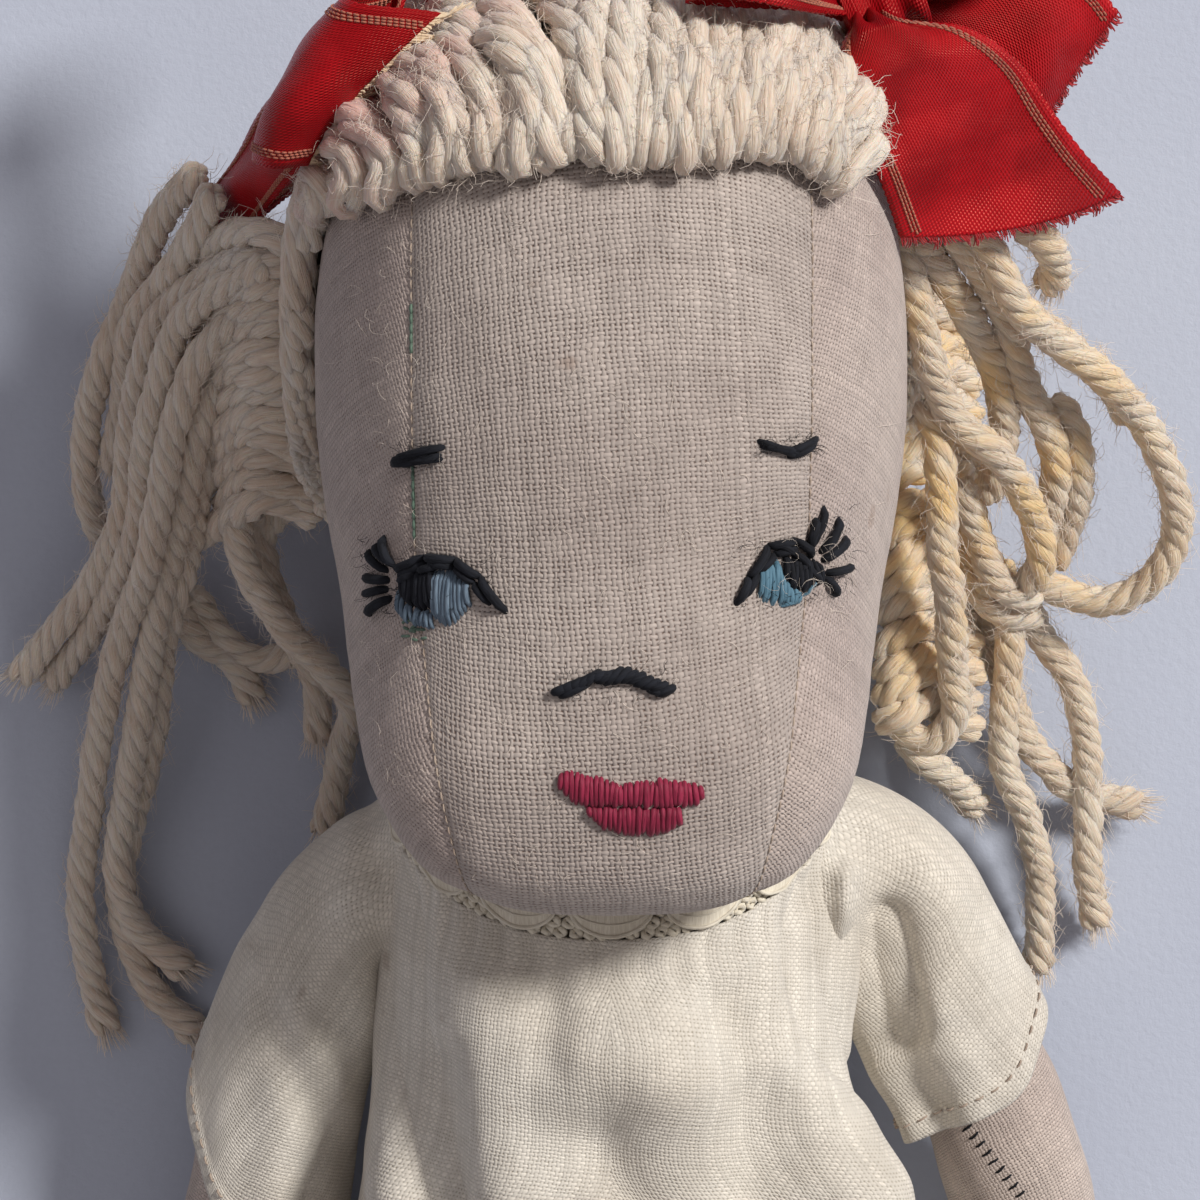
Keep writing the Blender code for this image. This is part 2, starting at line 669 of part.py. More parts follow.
# Each place from the knot, the half width and the direction across, all as shares of the ribbon's width
bow_shares = {
    "l": {
        "loop_in": [
            ((-0.20, 0.02, 0.06), 0.14, (0, 1, 0)),
            ((-0.40, 0.16, 0.52), 0.34, (0, 1, 0.1)),
            ((-0.66, 0.24, 0.74), 0.42, (0.1, 1, 0.1)),
            ((-0.84, 0.27, 0.68), 0.44, (0.15, 1, 0.1)),
            ((-0.84, 0.27, 0.54), 0.43, (0.15, 1, 0.1)),
            ((-0.64, 0.24, 0.48), 0.40, (0.1, 1, 0.1)),
            ((-0.40, 0.16, 0.32), 0.30, (0, 1, 0.1)),
            ((-0.20, 0.02, -0.02), 0.14, (0, 1, 0)),
        ],
        "loop_out": [
            ((0.16, 0.12, 0.06), 0.14, (-0.5, 1, 0)),
            ((0.32, 0.30, 0.17), 0.32, (-0.6, 1, 0.1)),
            ((0.52, 0.52, 0.18), 0.42, (-0.7, 1, 0.1)),
            ((0.66, 0.66, 0.06), 0.44, (-0.7, 1, 0.1)),
            ((0.64, 0.66, -0.08), 0.43, (-0.7, 1, 0.1)),
            ((0.48, 0.50, -0.12), 0.40, (-0.7, 1, 0.1)),
            ((0.30, 0.30, -0.08), 0.30, (-0.6, 1, 0.1)),
            ((0.16, 0.12, -0.03), 0.14, (-0.5, 1, 0)),
        ],
        "tail_front": [
            ((0.07, -0.22, 0.08), 0.16, (1, 0.2, -0.1)),
            ((0.20, -0.34, 0.30), 0.36, (1, 0.25, -0.1)),
            ((0.33, -0.52, 0.32), 0.46, (1, 0.25, -0.25)),
            ((0.47, -0.74, 0.24), 0.50, (1, 0.25, -0.35)),
            ((0.62, -0.98, 0.12), 0.51, (1, 0.25, -0.40)),
            ((0.74, -1.18, 0.00), 0.52, (1, 0.25, -0.40)),
        ],
        "tail_back": [
            ((0.20, -0.12, -0.10), 0.12, (0, 1, 0)),
            ((0.44, -0.16, -0.18), 0.24, (0.2, 1, 0.1)),
            ((0.68, -0.24, -0.26), 0.32, (0.5, 1, 0.1)),
            ((0.88, -0.36, -0.36), 0.36, (0.8, 1, 0.1)),
            ((1.02, -0.50, -0.50), 0.38, (1, 0.9, 0.1)),
        ],
    },
    "r": {
        "loop_in": [
            ((0.20, 0.04, 0.05), 0.14, (0, 1, 0)),
            ((0.40, 0.14, 0.24), 0.34, (0, 1, 0.1)),
            ((0.66, 0.24, 0.30), 0.42, (-0.1, 1, 0.1)),
            ((0.84, 0.28, 0.22), 0.44, (-0.15, 1, 0.1)),
            ((0.84, 0.28, 0.09), 0.43, (-0.15, 1, 0.1)),
            ((0.64, 0.24, 0.02), 0.40, (-0.1, 1, 0.1)),
            ((0.40, 0.14, 0.01), 0.30, (0, 1, 0.1)),
            ((0.20, 0.04, -0.04), 0.14, (0, 1, 0)),
        ],
        "loop_out": [
            ((-0.21, -0.04, -0.06), 0.12, (0.3, 1, -0.1)),
            ((-0.46, -0.22, -0.16), 0.24, (0.6, 1, -0.2)),
            ((-0.76, -0.54, -0.14), 0.30, (0.9, 0.8, -0.3)),
            ((-1.04, -0.92, -0.16), 0.32, (1, 0.6, -0.3)),
            ((-1.17, -1.26, -0.32), 0.32, (1, 0.3, -0.2)),
            ((-1.18, -1.48, -0.46), 0.30, (1, 0.1, -0.2)),
        ],
        "tail_front": [
            ((-0.08, -0.22, 0.08), 0.16, (1, -0.4, 0)),
            ((-0.22, -0.38, 0.38), 0.34, (1, -0.5, 0.35)),
            ((-0.38, -0.60, 0.48), 0.40, (0.8, -0.4, 0.55)),
            ((-0.54, -0.80, 0.44), 0.42, (0.7, -0.3, 0.65)),
            ((-0.67, -0.98, 0.32), 0.42, (0.6, -0.2, 0.7)),
        ],
        "tail_back": [
            ((-0.02, 0.218, -0.02), 0.14, (1, 0, 0)),
            ((-0.10, 0.50, -0.16), 0.30, (1, 0.1, 0.1)),
            ((-0.22, 0.78, -0.30), 0.40, (1, 0.2, 0.1)),
            ((-0.30, 1.02, -0.50), 0.44, (1, 0.2, 0.1)),
        ],
    },
}


def ball(centre, radii, rings=8, round_count=12):
    made = bmesh.new()
    bmesh.ops.create_uvsphere(made, u_segments=round_count, v_segments=rings, radius=1.0)
    for corner in made.verts:
        corner.co = Vector([c * r for c, r in zip(corner.co, radii)]) + centre
    return made


# Torso surface

TORSO_LENGTH = SHOULDER_Y - HIP_Y


def torso_row(y):
    """Half width, lowest and highest point of the torso across a place on its length."""
    share = (y - HIP_Y) / TORSO_LENGTH
    half, low, high = (v.item() for v in smooth_table(torso_shares, np.array([share])))
    floor = COTTON + GAP
    return half * TORSO_WIDTH / 2, floor + low * TORSO_DEPTH, floor + high * TORSO_DEPTH


def torso_point(y, angle, out):
    half, low, high = torso_row(y)
    x, z = section(angle, half + out, low - out, high + out)
    return Vector((x, y, z))


def torso():
    rings = []
    half = torso_row(HIP_Y)[0]
    edge = []
    for j in range(ROUND):
        x, z = section(2 * math.pi * j / ROUND, half, HIP_Z - SEAM_HALF, HIP_Z + SEAM_HALF)
        edge.append(Vector((x, HIP_Y + SEAM_EDGE, z)))
    rings.append(edge)
    places = [row[0] for row in torso_shares]
    for share in places:
        y = HIP_Y + share * TORSO_LENGTH
        rings.append([torso_point(y, 2 * math.pi * j / ROUND, 0.0) for j in range(ROUND)])
    return closed_loft(rings)


def neckline_y(angle):
    """How far up the smock reaches: low in front, high at the back and the shoulders."""
    turn = math.cos(angle)
    low_end = NECKLINE_Y if turn > 0 else NECKLINE_BACK_Y
    return NECKLINE_SIDE_Y + (low_end - NECKLINE_SIDE_Y) * abs(turn) ** NECKLINE_POWER


# Folds of the smock's front: angle in degrees, width in degrees, height as a share of the fold's height
fold_shares = [(-56, 9, 0.8), (-34, 8, 0.75), (2, 13, 1.0), (30, 6, 0.55), (45, 5, 0.9), (63, 7, 0.8)]


def smock_out(y, angle):
    """The smock's outer side: its own thickness, its main folds and its flare towards the hem."""
    down = min(1.0, max(0.0, (NECKLINE_Y - y) / (NECKLINE_Y - SMOCK_HEM_Y)))
    rise = 0.0
    degrees = math.degrees((angle + math.pi) % (2 * math.pi) - math.pi)
    for middle, wide, share in fold_shares:
        rise += share * math.exp(-(((degrees - middle) / wide) ** 2))
    near_neck = min(1.0, down * 4)
    side = abs(math.sin(angle))**6
    flare = SMOCK_FLARE * down * max(0.0, math.cos(angle)) * (1 - side)
    return GAP + EASE + COTTON + SMOCK_FOLD * rise * near_neck * (1 - side) + flare


def smock_half(start, end, count):
    """Half of the smock, from its hem up to the neckline. Its lower rows follow the torso's own."""
    outer, inner = [], []
    own = [HIP_Y + row[0] * TORSO_LENGTH for row in torso_shares]
    low_rows = [SMOCK_HEM_Y] + [y for y in own if SMOCK_HEM_Y + COTTON < y < NECKLINE_Y - EDGING_WIDTH]
    angles = np.linspace(start, end, count)
    places = [[y] * count for y in low_rows]
    for share in (0.3, 0.55, 0.75, 0.9, 1.0):
        places.append([low_rows[-1] + (neckline_y(a) - low_rows[-1]) * share for a in angles])
    for row in places:
        top, low = [], []
        for y, angle in zip(row, angles):
            point = torso_point(y, angle, smock_out(y, angle))
            top.append(Vector((point.x, point.y, max(point.z, 0.0))))
            low.append(torso_point(y, angle, GAP + EASE))
        outer.append(top)
        inner.append(low)
    return closed_grid((outer, inner))


def neck_edging():
    """A crocheted band on the neckline, its inner edge in scallops."""
    outer, inner = [], []
    count = 54
    for step in range(3):
        top, low = [], []
        for j in range(count):
            angle = 2 * math.pi * j / count
            reach = EDGING_WIDTH * step / 2
            if step == 2:
                reach += SCALLOP * abs(math.sin(angle * 9))
            y = neckline_y(angle) + GAP + reach
            y = min(y, SHOULDER_Y - GAP)
            top.append(torso_point(y, angle, GAP + EASE + EDGING_THICK))
            low.append(torso_point(y, angle, GAP + EASE))
        outer.append(top)
        inner.append(low)
    return closed_grid((outer, inner), wraps_round=True)


def bloomer_seat():
    outer, inner = [], []
    top_y, end_y = SMOCK_HEM_Y - GAP, HIP_Y + SEAT_END
    own = [HIP_Y + row[0] * TORSO_LENGTH for row in torso_shares]
    rows = [top_y] + [y for y in reversed(own) if end_y < y < top_y] + [end_y]
    for y in rows:
        angles = [2 * math.pi * j / ROUND for j in range(ROUND)]
        top = [torso_point(y, a, GAP + EASE + COTTON) for a in angles]
        outer.append([Vector((p.x, p.y, max(p.z, 0.0))) for p in top])
        inner.append([torso_point(y, a, GAP + EASE) for a in angles])
    return closed_grid((outer, inner), wraps_round=True)


# Arms: a tube that leaves the shoulder sideways and bends down beside the body

arms = {
    "l": {
        "side": 1,
        "y": LEFT_ARM_Y,
        "start_y": LEFT_ARM_Y,
        "straight": LEFT_ARM_STRAIGHT,
        "set": LEFT_ARM_SET,
        "shoulder": LEFT_SHOULDER,
        "splay": LEFT_SPLAY,
        "sleeve": LEFT_SLEEVE,
        "puff": LEFT_PUFF,
        "slim_share": 0.85,
        "hole_share": 1.0,
    },
    "r": {
        "side": -1,
        "y": RIGHT_ARM_Y,
        "start_y": RIGHT_ARM_Y + RIGHT_ARM_RISE,
        "straight": 0.0,
        "set": RIGHT_ARM_SET,
        "shoulder": RIGHT_SHOULDER,
        "splay": RIGHT_SPLAY,
        "sleeve": RIGHT_SLEEVE,
        "puff": RIGHT_PUFF,
        "slim_share": 0.8,
        "hole_share": 1.2,
    },
}

# Where the arm has its full thickness, and where its thumb is and how long, as shares of the arm's length
THICK_SHARE = 0.42
THUMB_SHARE = 0.835
THUMB_LONG_SHARE = 0.03


def eased(share):
    share = np.clip(share, 0, 1)
    return share * share * (3 - 2 * share)


def arm_course(shape):
    """Distances along the arm's middle line, with the place and the turn from sideways at each."""
    along = np.linspace(-ARM_LENGTH / 8, ARM_LENGTH, 720)
    most = math.pi / 2 - shape["shoulder"]
    turn = np.clip(shape["set"] + along / ARM_BEND, shape["set"], most)
    bent = ARM_BEND * (most - shape["set"]) + shape["straight"]
    turn = turn + (shape["shoulder"] - shape["splay"]) * eased((along - bent) / ARM_EASE)
    step = np.diff(along)
    halfway = (turn[1:] + turn[:-1]) / 2
    x = np.concatenate(([0], np.cumsum(np.cos(halfway) * step)))
    y = np.concatenate(([0], np.cumsum(-np.sin(halfway) * step)))
    x = x - np.interp(0, along, x) + TORSO_SIDE + GAP
    y = y - np.interp(0, along, y) + shape["start_y"]
    z = ARM_Z + (HAND_Z - ARM_Z) * eased((along - ARM_BEND) / (ARM_LENGTH / 2))
    return along, x, y, z, turn


def arm_point(shape, course, along, angle, out, fullness=0.0):
    """A point on the arm's skin or out from it. The thumb lies towards the body, the fullness away from it."""
    x, y, z, turn = (np.interp(along, course[0], column).item() for column in course[1:])
    share = along / ARM_LENGTH
    wide, tall = (v.item() * ARM_RADIUS for v in smooth_table(arm_shares, np.array([share])))
    thick = shape["slim_share"] + (1 - shape["slim_share"]) * eased(share / THICK_SHARE).item()
    thumb = THUMB * math.exp(-(((share - THUMB_SHARE) / THUMB_LONG_SHARE) ** 2)) * max(0.0, math.cos(angle)) ** 2
    reach = out + fullness * max(0.0, -math.cos(angle))
    inward = math.cos(angle) * (wide * thick + reach + thumb)
    rise = math.sin(angle) * (tall * thick + reach)
    place = (x - math.sin(turn) * inward, y - math.cos(turn) * inward, max(z + rise, 0.0))
    return Vector((shape["side"] * place[0], place[1], place[2]))


def leaving(shape, course, angle, out, plane):
    """How far along the arm a line of its skin comes out of a plane beside the body."""
    low, high = course[0][0], ARM_LENGTH / 4
    for _ in range(24):
        middle = (low + high) / 2
        if abs(arm_point(shape, course, middle, angle, out).x) < plane:
            low = middle
        else:
            high = middle
    return low


def arm_rings(shape, way_shares, end, rise, out, plane, count, fold=0.0, puff=0.0):
    """Rings round the arm from a plane beside the body to an end that rises on the outer side."""
    course = arm_course(shape)
    angles = [2 * math.pi * j / count for j in range(count)]
    starts = [leaving(shape, course, angle, out, plane) for angle in angles]
    rings = []
    for share in way_shares:
        ring = []
        for angle, start in zip(angles, starts):
            stop = end - rise * max(0.0, -math.cos(angle)) ** 2
            along = start + (stop - start) * share
            fullness = fold * share * (1 + math.sin(angle * 6)) + puff
            ring.append(arm_point(shape, course, along, angle, out, fullness))
        rings.append(ring)
    return rings


arm_way_shares = (
    0, 0.017, 0.045, 0.075, 0.10, 0.125, 0.16, 0.21, 0.28, 0.36, 0.44, 0.52, 0.60, 0.68,
    0.74, 0.78, 0.81, 0.835, 0.86, 0.89, 0.93, 0.96, 0.98, 0.99, 1,
)


def arm(shape):
    return closed_loft(arm_rings(shape, arm_way_shares, ARM_LENGTH, 0.0, 0.0, TORSO_SIDE + GAP, 16))


sleeve_way_shares = (0, 0.12, 0.24, 0.36, 0.48, 0.64, 0.82, 1)


def sleeve(shape):
    """A short set-in sleeve, fuller on its outer side, with a few folds towards its hem."""
    plane = TORSO_SIDE + GAP + SLEEVE_ROOM
    thick = GAP + EASE + COTTON
    ways = sleeve_way_shares
    outer = arm_rings(shape, ways, shape["sleeve"], HEM_RISE, thick, plane, 24, SLEEVE_FOLD, shape["puff"])
    inner = arm_rings(shape, ways, shape["sleeve"], HEM_RISE, GAP + EASE, plane, 24)
    return closed_grid((outer, inner), wraps_round=True)


# Legs

def leg_row(along):
    """Half width, lowest and highest point of the leg at a distance from the hip seam."""
    ankle = leg_shares[-1][0] * LEG_LENGTH
    if along <= ankle:
        half, low, high = (v.item() for v in smooth_table(leg_shares, np.array([along / LEG_LENGTH])))
        return half * LEG_WIDTH / 2, low * LEG_DEPTH + GAP, high * LEG_DEPTH + GAP
    share = (along - ankle) / (LEG_LENGTH - ankle)
    half, low, high = (v.item() for v in smooth_table(foot_shares, np.array([share])))
    return half * LEG_WIDTH / 2, low * FOOT_HEIGHT, high * FOOT_HEIGHT


def leg_ring(side, along, out, count=16):
    half, low, high = leg_row(along)
    middle = side * (LEG_X + LEG_SPREAD * along / LEG_LENGTH)
    ring = []
    for j in range(count):
        x, z = section(2 * math.pi * j / count, half + out, low - out, high + out)
        ring.append(Vector((middle + x, HIP_Y - along, max(z, 0.0))))
    return ring


def leg(side):
    edge = []
    half = leg_row(0)[0]
    for j in range(16):
        x, z = section(2 * math.pi * j / 16, half, HIP_Z - SEAM_HALF, HIP_Z + SEAM_HALF)
        edge.append(Vector((side * LEG_X + x, HIP_Y - SEAM_EDGE, z)))
    rings = [edge]
    ankle = leg_shares[-1][0] * LEG_LENGTH
    for row in leg_shares:
        rings.append(leg_ring(side, row[0] * LEG_LENGTH, 0.0))
    for row in foot_shares:
        rings.append(leg_ring(side, ankle + row[0] * (LEG_LENGTH - ankle), 0.0))
    return closed_loft(rings)


def bloomer_leg(side):
    outer, inner = [], []
    own = [row[0] * LEG_LENGTH for row in leg_shares]
    for along in [SEAT_END] + [a for a in own if SEAT_END < a < BLOOMER_LENGTH] + [BLOOMER_LENGTH]:
        outer.append(leg_ring(side, along, GAP + COTTON))
        inner.append(leg_ring(side, along, GAP))
    return closed_grid((outer, inner), wraps_round=True)


def cuff(side):
    outer, inner = [], []
    for step in range(3):
        along = BLOOMER_LENGTH + GAP + CUFF_WIDTH * step / 2
        outer.append(leg_ring(side, along, GAP + CUFF_THICK * (1.0, 0.75, 0.9)[step]))
        inner.append(leg_ring(side, along, GAP))
    return closed_grid((outer, inner), wraps_round=True)


# Pivots on the joints' axes
pivot("neck_pivot", Vector((0, NECK_Y, NECK_Z)))
for side, mark in ((1, "l"), (-1, "r")):
    pivot("shoulder_pivot_" + mark, Vector((side * TORSO_SIDE, arms[mark]["y"], ARM_Z)))
    pivot("hip_pivot_" + mark, Vector((side * LEG_X, HIP_Y, HIP_Z)))

# Torso and what is sewn to it
torso_made = finish("torso", torso(), COTTON_COLOUR)
socket = finish("neck_socket", ball(Vector((0, NECK_Y, NECK_Z)), [NECK_RADIUS + PIVOT_ROOM] * 3, 16, 28), COTTON_COLOUR)
cut_with(torso_made, socket)
front = smock_half(-math.pi / 2 + math.radians(0.6), math.pi / 2 - math.radians(0.6), 29)
back = smock_half(math.pi / 2 + math.radians(0.6), math.pi * 1.5 - math.radians(0.6), 21)
smock_parts = [finish("smock_front", front, COTTON_COLOUR), finish("smock_back", back, COTTON_COLOUR)]
finish("neck_edging", neck_edging(), LACE_COLOUR)
finish("bloomer_seat", bloomer_seat(), COTTON_COLOUR)

# Armholes
for mark, shape in arms.items():
    armhole = (ARM_RADIUS + PIVOT_ROOM) * shape["hole_share"]
    hole_data = bmesh.new()
    bmesh.ops.create_cone(hole_data, cap_ends=True, segments=28, radius1=1.0, radius2=1.0, depth=2.0)
    for corner in hole_data.verts:
        x, y, z = corner.co
        reach = TORSO_WIDTH / 2 * (1 + z)
        corner.co = Vector((shape["side"] * reach, shape["y"] + x * armhole, ARM_Z + y * armhole))
    hole = finish("armhole_" + mark, hole_data, COTTON_COLOUR)
    for piece in smock_parts:
        cut_with(piece, hole)

# Head
stuffing = finish("head_stuffing", head_ball(-LINEN - GAP - EASE * 4, 14, 30), STUFFING_COLOUR, "neck_pivot")
neck_rings = []
neck_shares = [(-0.995, 0.10), (-0.94, 0.34), (-0.80, 0.60), (-0.55, 0.835), (-0.25, 0.968), (0.0, 1.0), (1.0, 1.0)]
for reach, wide in neck_shares:
    y = NECK_Y + (reach * NECK_RADIUS if reach < 0.5 else NECK_LENGTH)
    ring = []
    for j in range(20):
        turn = 2 * math.pi * j / 20
        ring.append(Vector((math.cos(turn) * wide * NECK_RADIUS, y, NECK_Z + math.sin(turn) * wide * NECK_RADIUS)))
    neck_rings.append(ring)
finish("neck", closed_loft(neck_rings), LINEN_COLOUR, "neck_pivot")
bore_rings = []
for y in (NECK_Y - NECK_RADIUS, NECK_Y + NECK_LENGTH + GAP):
    ring = []
    for j in range(24):
        turn = 2 * math.pi * j / 24
        reach = NECK_RADIUS + PIVOT_ROOM
        ring.append(Vector((math.cos(turn) * reach, y, NECK_Z + math.sin(turn) * reach)))
    bore_rings.append(ring)
neck_bore = finish("neck_bore", closed_loft(bore_rings), STUFFING_COLOUR, "neck_pivot")
cut_with(stuffing, neck_bore)
finish("face_panel", middle_panel(), LINEN_COLOUR, "neck_pivot")
for side, mark in ((1, "l"), (-1, "r")):
    finish("side_panel_" + mark, side_panel(side), LINEN_COLOUR, "neck_pivot")

# Face stitching
for side, mark in ((1, "l"), (-1, "r")):
    x = side * EYE_X
    eye_rows = row_of((x - IRIS_WIDTH / 2, EYE_Y), (x + IRIS_WIDTH / 2, EYE_Y), 0.0, 7)
    eye_halves = [EYE_HEIGHT / 2 * s for s in (0.35, 0.78, 0.95, 1.0, 0.95, 0.78, 0.35)]
    finish("eye_" + mark, stitched(eye_rows, eye_halves), BLUE_THREAD, "neck_pivot", 0.6)
    lid_y = EYE_Y + EYE_HEIGHT / 2 + THREAD * 1.5
    lid_rows = row_of((x - IRIS_WIDTH * 0.7, lid_y - THREAD), (x + IRIS_WIDTH * 0.7, lid_y - THREAD), THREAD, 7)
    finish("lid_" + mark, stitched(lid_rows, [THREAD * 0.7] * 7), DARK_THREAD, "neck_pivot", 0.6)
    brow_x = side * BROW_X
    brow_rows = row_of((brow_x - BROW_LENGTH / 2, BROW_Y), (brow_x + BROW_LENGTH / 2, BROW_Y), THREAD, 6)
    finish("brow_" + mark, stitched(brow_rows, [THREAD] * 6), DARK_THREAD, "neck_pivot", 0.6)
nose_rows = row_of((-NOSE_WIDTH / 2, NOSE_Y - THREAD * 2), (NOSE_WIDTH / 2, NOSE_Y - THREAD * 2), THREAD * 3, 9)
finish("nose", stitched(nose_rows, [THREAD] * 9), DARK_THREAD, "neck_pivot", 0.6)
upper_rows = row_of((LIP_X - LIP_WIDTH / 2, LIP_UPPER_Y), (LIP_X + LIP_WIDTH / 2, LIP_UPPER_Y), 0.0, 9)
upper_halves = [LIP_HEIGHT / 2 * s for s in (0.3, 0.7, 0.95, 1.0, 0.8, 1.0, 0.95, 0.7, 0.3)]
finish("lip_upper", stitched(upper_rows, upper_halves), ROSE_THREAD, "neck_pivot", 0.55)
lower_width = LIP_WIDTH * 0.65
lower_y = LIP_UPPER_Y - LIP_HEIGHT - GAP
lower_rows = row_of((LIP_X - lower_width / 2, lower_y), (LIP_X + lower_width / 2, lower_y), 0.0, 7)
lower_halves = [LIP_HEIGHT / 2 * s for s in (0.3, 0.75, 0.95, 1.0, 0.95, 0.75, 0.3)]
finish("lip_lower", stitched(lower_rows, lower_halves), ROSE_THREAD, "neck_pivot", 0.55)

# Hair
finish("hair_cap", hair_cap(), HAIR_COLOUR, "neck_pivot", 0.95)
parting = math.asin(PARTING_X / (HEAD_DEPTH / 2 + HEAD_HEIGHT / 8))
split = math.radians(0.4)
finish("hair_fringe_l", fringe(parting + split, math.radians(33)), HAIR_COLOUR, "neck_pivot", 0.95)
finish("hair_fringe_r", fringe(math.radians(-40), parting - split), HAIR_COLOUR, "neck_pivot", 0.95)
head_room = finish("head_room", head_ball(HAIR_DEPTH + FLAT_CUT + GAP + EASE, 15, 26), HAIR_COLOUR, "neck_pivot")
bundles = []
knots = {mark: head_place(*shares) for mark, shares in knot_place_shares.items()}
for mark, shares in (("l", bundle_left_shares), ("r", bundle_right_shares)):
    made = finish("hair_side_" + mark, bundle(shares, knots[mark]), HAIR_COLOUR, "neck_pivot", 0.95)
    cut_with(made, head_room)
    bundles.append(made)

# Bows tied round the roots of the bundles
for mark, knot in knots.items():
    finish("bow_" + mark + "_knot", ball(knot, [KNOT_RADIUS * s for s in knot_shares]), RIBBON_COLOUR, "neck_pivot", 0.4)
    for piece, stations in bow_shares[mark].items():
        finish("bow_" + mark + "_" + piece, ribbon(knot, stations), RIBBON_COLOUR, "neck_pivot", 0.4)

# Arms and sleeves, legs and bloomer legs
for side, mark in ((1, "l"), (-1, "r")):
    finish("arm_" + mark, arm(arms[mark]), LINEN_COLOUR, "shoulder_pivot_" + mark)
    finish("sleeve_" + mark, sleeve(arms[mark]), COTTON_COLOUR, "shoulder_pivot_" + mark)
    finish("leg_" + mark, leg(side), LINEN_COLOUR, "hip_pivot_" + mark)
    finish("bloomer_leg_" + mark, bloomer_leg(side), COTTON_COLOUR, "hip_pivot_" + mark)
    finish("bloomer_cuff_" + mark, cuff(side), LACE_COLOUR, "hip_pivot_" + mark)
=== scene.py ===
import math
import random

import bpy
import numpy as np
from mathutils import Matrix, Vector
from mathutils.bvhtree import BVHTree
from mathutils.kdtree import KDTree


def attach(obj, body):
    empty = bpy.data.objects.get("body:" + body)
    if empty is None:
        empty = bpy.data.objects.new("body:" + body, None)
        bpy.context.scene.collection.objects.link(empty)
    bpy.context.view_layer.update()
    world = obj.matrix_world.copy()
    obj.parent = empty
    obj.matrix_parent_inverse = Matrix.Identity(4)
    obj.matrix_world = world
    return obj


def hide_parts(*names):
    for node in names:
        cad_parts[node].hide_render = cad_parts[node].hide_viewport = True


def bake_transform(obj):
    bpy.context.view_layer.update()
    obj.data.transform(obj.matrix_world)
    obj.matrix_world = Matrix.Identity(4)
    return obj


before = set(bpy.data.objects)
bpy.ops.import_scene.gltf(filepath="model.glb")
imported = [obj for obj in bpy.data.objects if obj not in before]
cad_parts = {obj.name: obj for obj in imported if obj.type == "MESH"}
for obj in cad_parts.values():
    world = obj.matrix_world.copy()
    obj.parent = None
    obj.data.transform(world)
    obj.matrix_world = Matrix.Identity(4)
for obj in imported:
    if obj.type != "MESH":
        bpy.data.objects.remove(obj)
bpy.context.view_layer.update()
MM = 0.001
TAU = 2 * math.pi
SEED = 7
dice = random.Random(SEED)
rng = np.random.default_rng(SEED)

# Camera, light and floor

LENS_SCALE, VIEW_MIDDLE = 2800.0, 600
CAMERA_MM = np.array((-1.2, 80.0, 355.0))


def place(px, py, z):
    """The place in millimetres that a pixel of the 1200-pixel view shows at a height."""
    scale = LENS_SCALE / (CAMERA_MM[2] - z)
    return np.array((CAMERA_MM[0] + (px - VIEW_MIDDLE) / scale, CAMERA_MM[1] - (py - VIEW_MIDDLE) / scale, z))


camera_data = bpy.data.cameras.new("camera")
camera_data.lens = 84
camera_data.sensor_width = 36
camera_data.clip_start = 0.01
camera = bpy.data.objects.new("camera", camera_data)
camera.location = CAMERA_MM * MM
bpy.context.scene.collection.objects.link(camera)
bpy.context.scene.camera = camera
bpy.context.scene.view_settings.view_transform = "Standard"


def lamp(name, spot, aim, size, power, colour):
    data = bpy.data.lights.new(name, "AREA")
    data.shape = "DISK"
    data.size = size
    data.energy = power
    data.color = colour
    made = bpy.data.objects.new(name, data)
    made.location = Vector(spot)
    made.rotation_euler = (Vector(aim) - Vector(spot)).to_track_quat("-Z", "Y").to_euler()
    bpy.context.scene.collection.objects.link(made)


lamp("key", (1.40, 1.035, 1.56), (0.0, 0.06, 0.02), 0.45, 58.0, (1.0, 0.97, 0.93))
lamp("fill", (-0.45, 0.05, 0.55), (0.0, 0.05, 0.0), 0.5, 0.28, (1.0, 0.93, 0.95))
lamp("front", (0.05, -0.45, 0.50), (0.0, 0.0, 0.0), 0.5, 0.30, (1.0, 0.97, 0.95))

# Nodes for materials


def add(tree, kind, *inputs, **settings):
    """A shader node; each input is a value, a socket or None."""
    made = tree.nodes.new("ShaderNode" + kind)
    for key, value in settings.items():
        setattr(made, key, value)
    for index, value in enumerate(inputs):
        if value is None:
            continue
        if isinstance(value, bpy.types.NodeSocket):
            tree.links.new(value, made.inputs[index])
        else:
            made.inputs[index].default_value = value
    return made


def calc(tree, operation, a, b=None, c=None):
    return add(tree, "Math", a, b, c, operation=operation).outputs[0]


def noise(tree, vector, scale, detail=2.0, rough=0.5):
    made = tree.nodes.new("ShaderNodeTexNoise")
    made.inputs["Scale"].default_value = scale
    made.inputs["Detail"].default_value = detail
    made.inputs["Roughness"].default_value = rough
    tree.links.new(vector, made.inputs["Vector"])
    return made


def ramp(tree, value, low, high, out_low=0.0, out_high=1.0):
    made = tree.nodes.new("ShaderNodeMapRange")
    made.interpolation_type = "SMOOTHSTEP"
    tree.links.new(value, made.inputs["Value"])
    for key, number in (("From Min", low), ("From Max", high), ("To Min", out_low), ("To Max", out_high)):
        made.inputs[key].default_value = number
    return made.outputs["Result"]


def mix(tree, share, a, b, kind="MIX"):
    made = tree.nodes.new("ShaderNodeMix")
    made.data_type = "RGBA"
    made.blend_type = kind
    for index, value in ((0, share), (6, a), (7, b)):
        if isinstance(value, bpy.types.NodeSocket):
            tree.links.new(value, made.inputs[index])
        elif index == 0:
            made.inputs[index].default_value = value
        else:
            made.inputs[index].default_value = (*value, 1.0)
    return made.outputs[2]


def blank(name):
    made = bpy.data.materials.new(name)
    made.use_nodes = True
    tree = made.node_tree
    return made, tree, tree.nodes["Principled BSDF"]


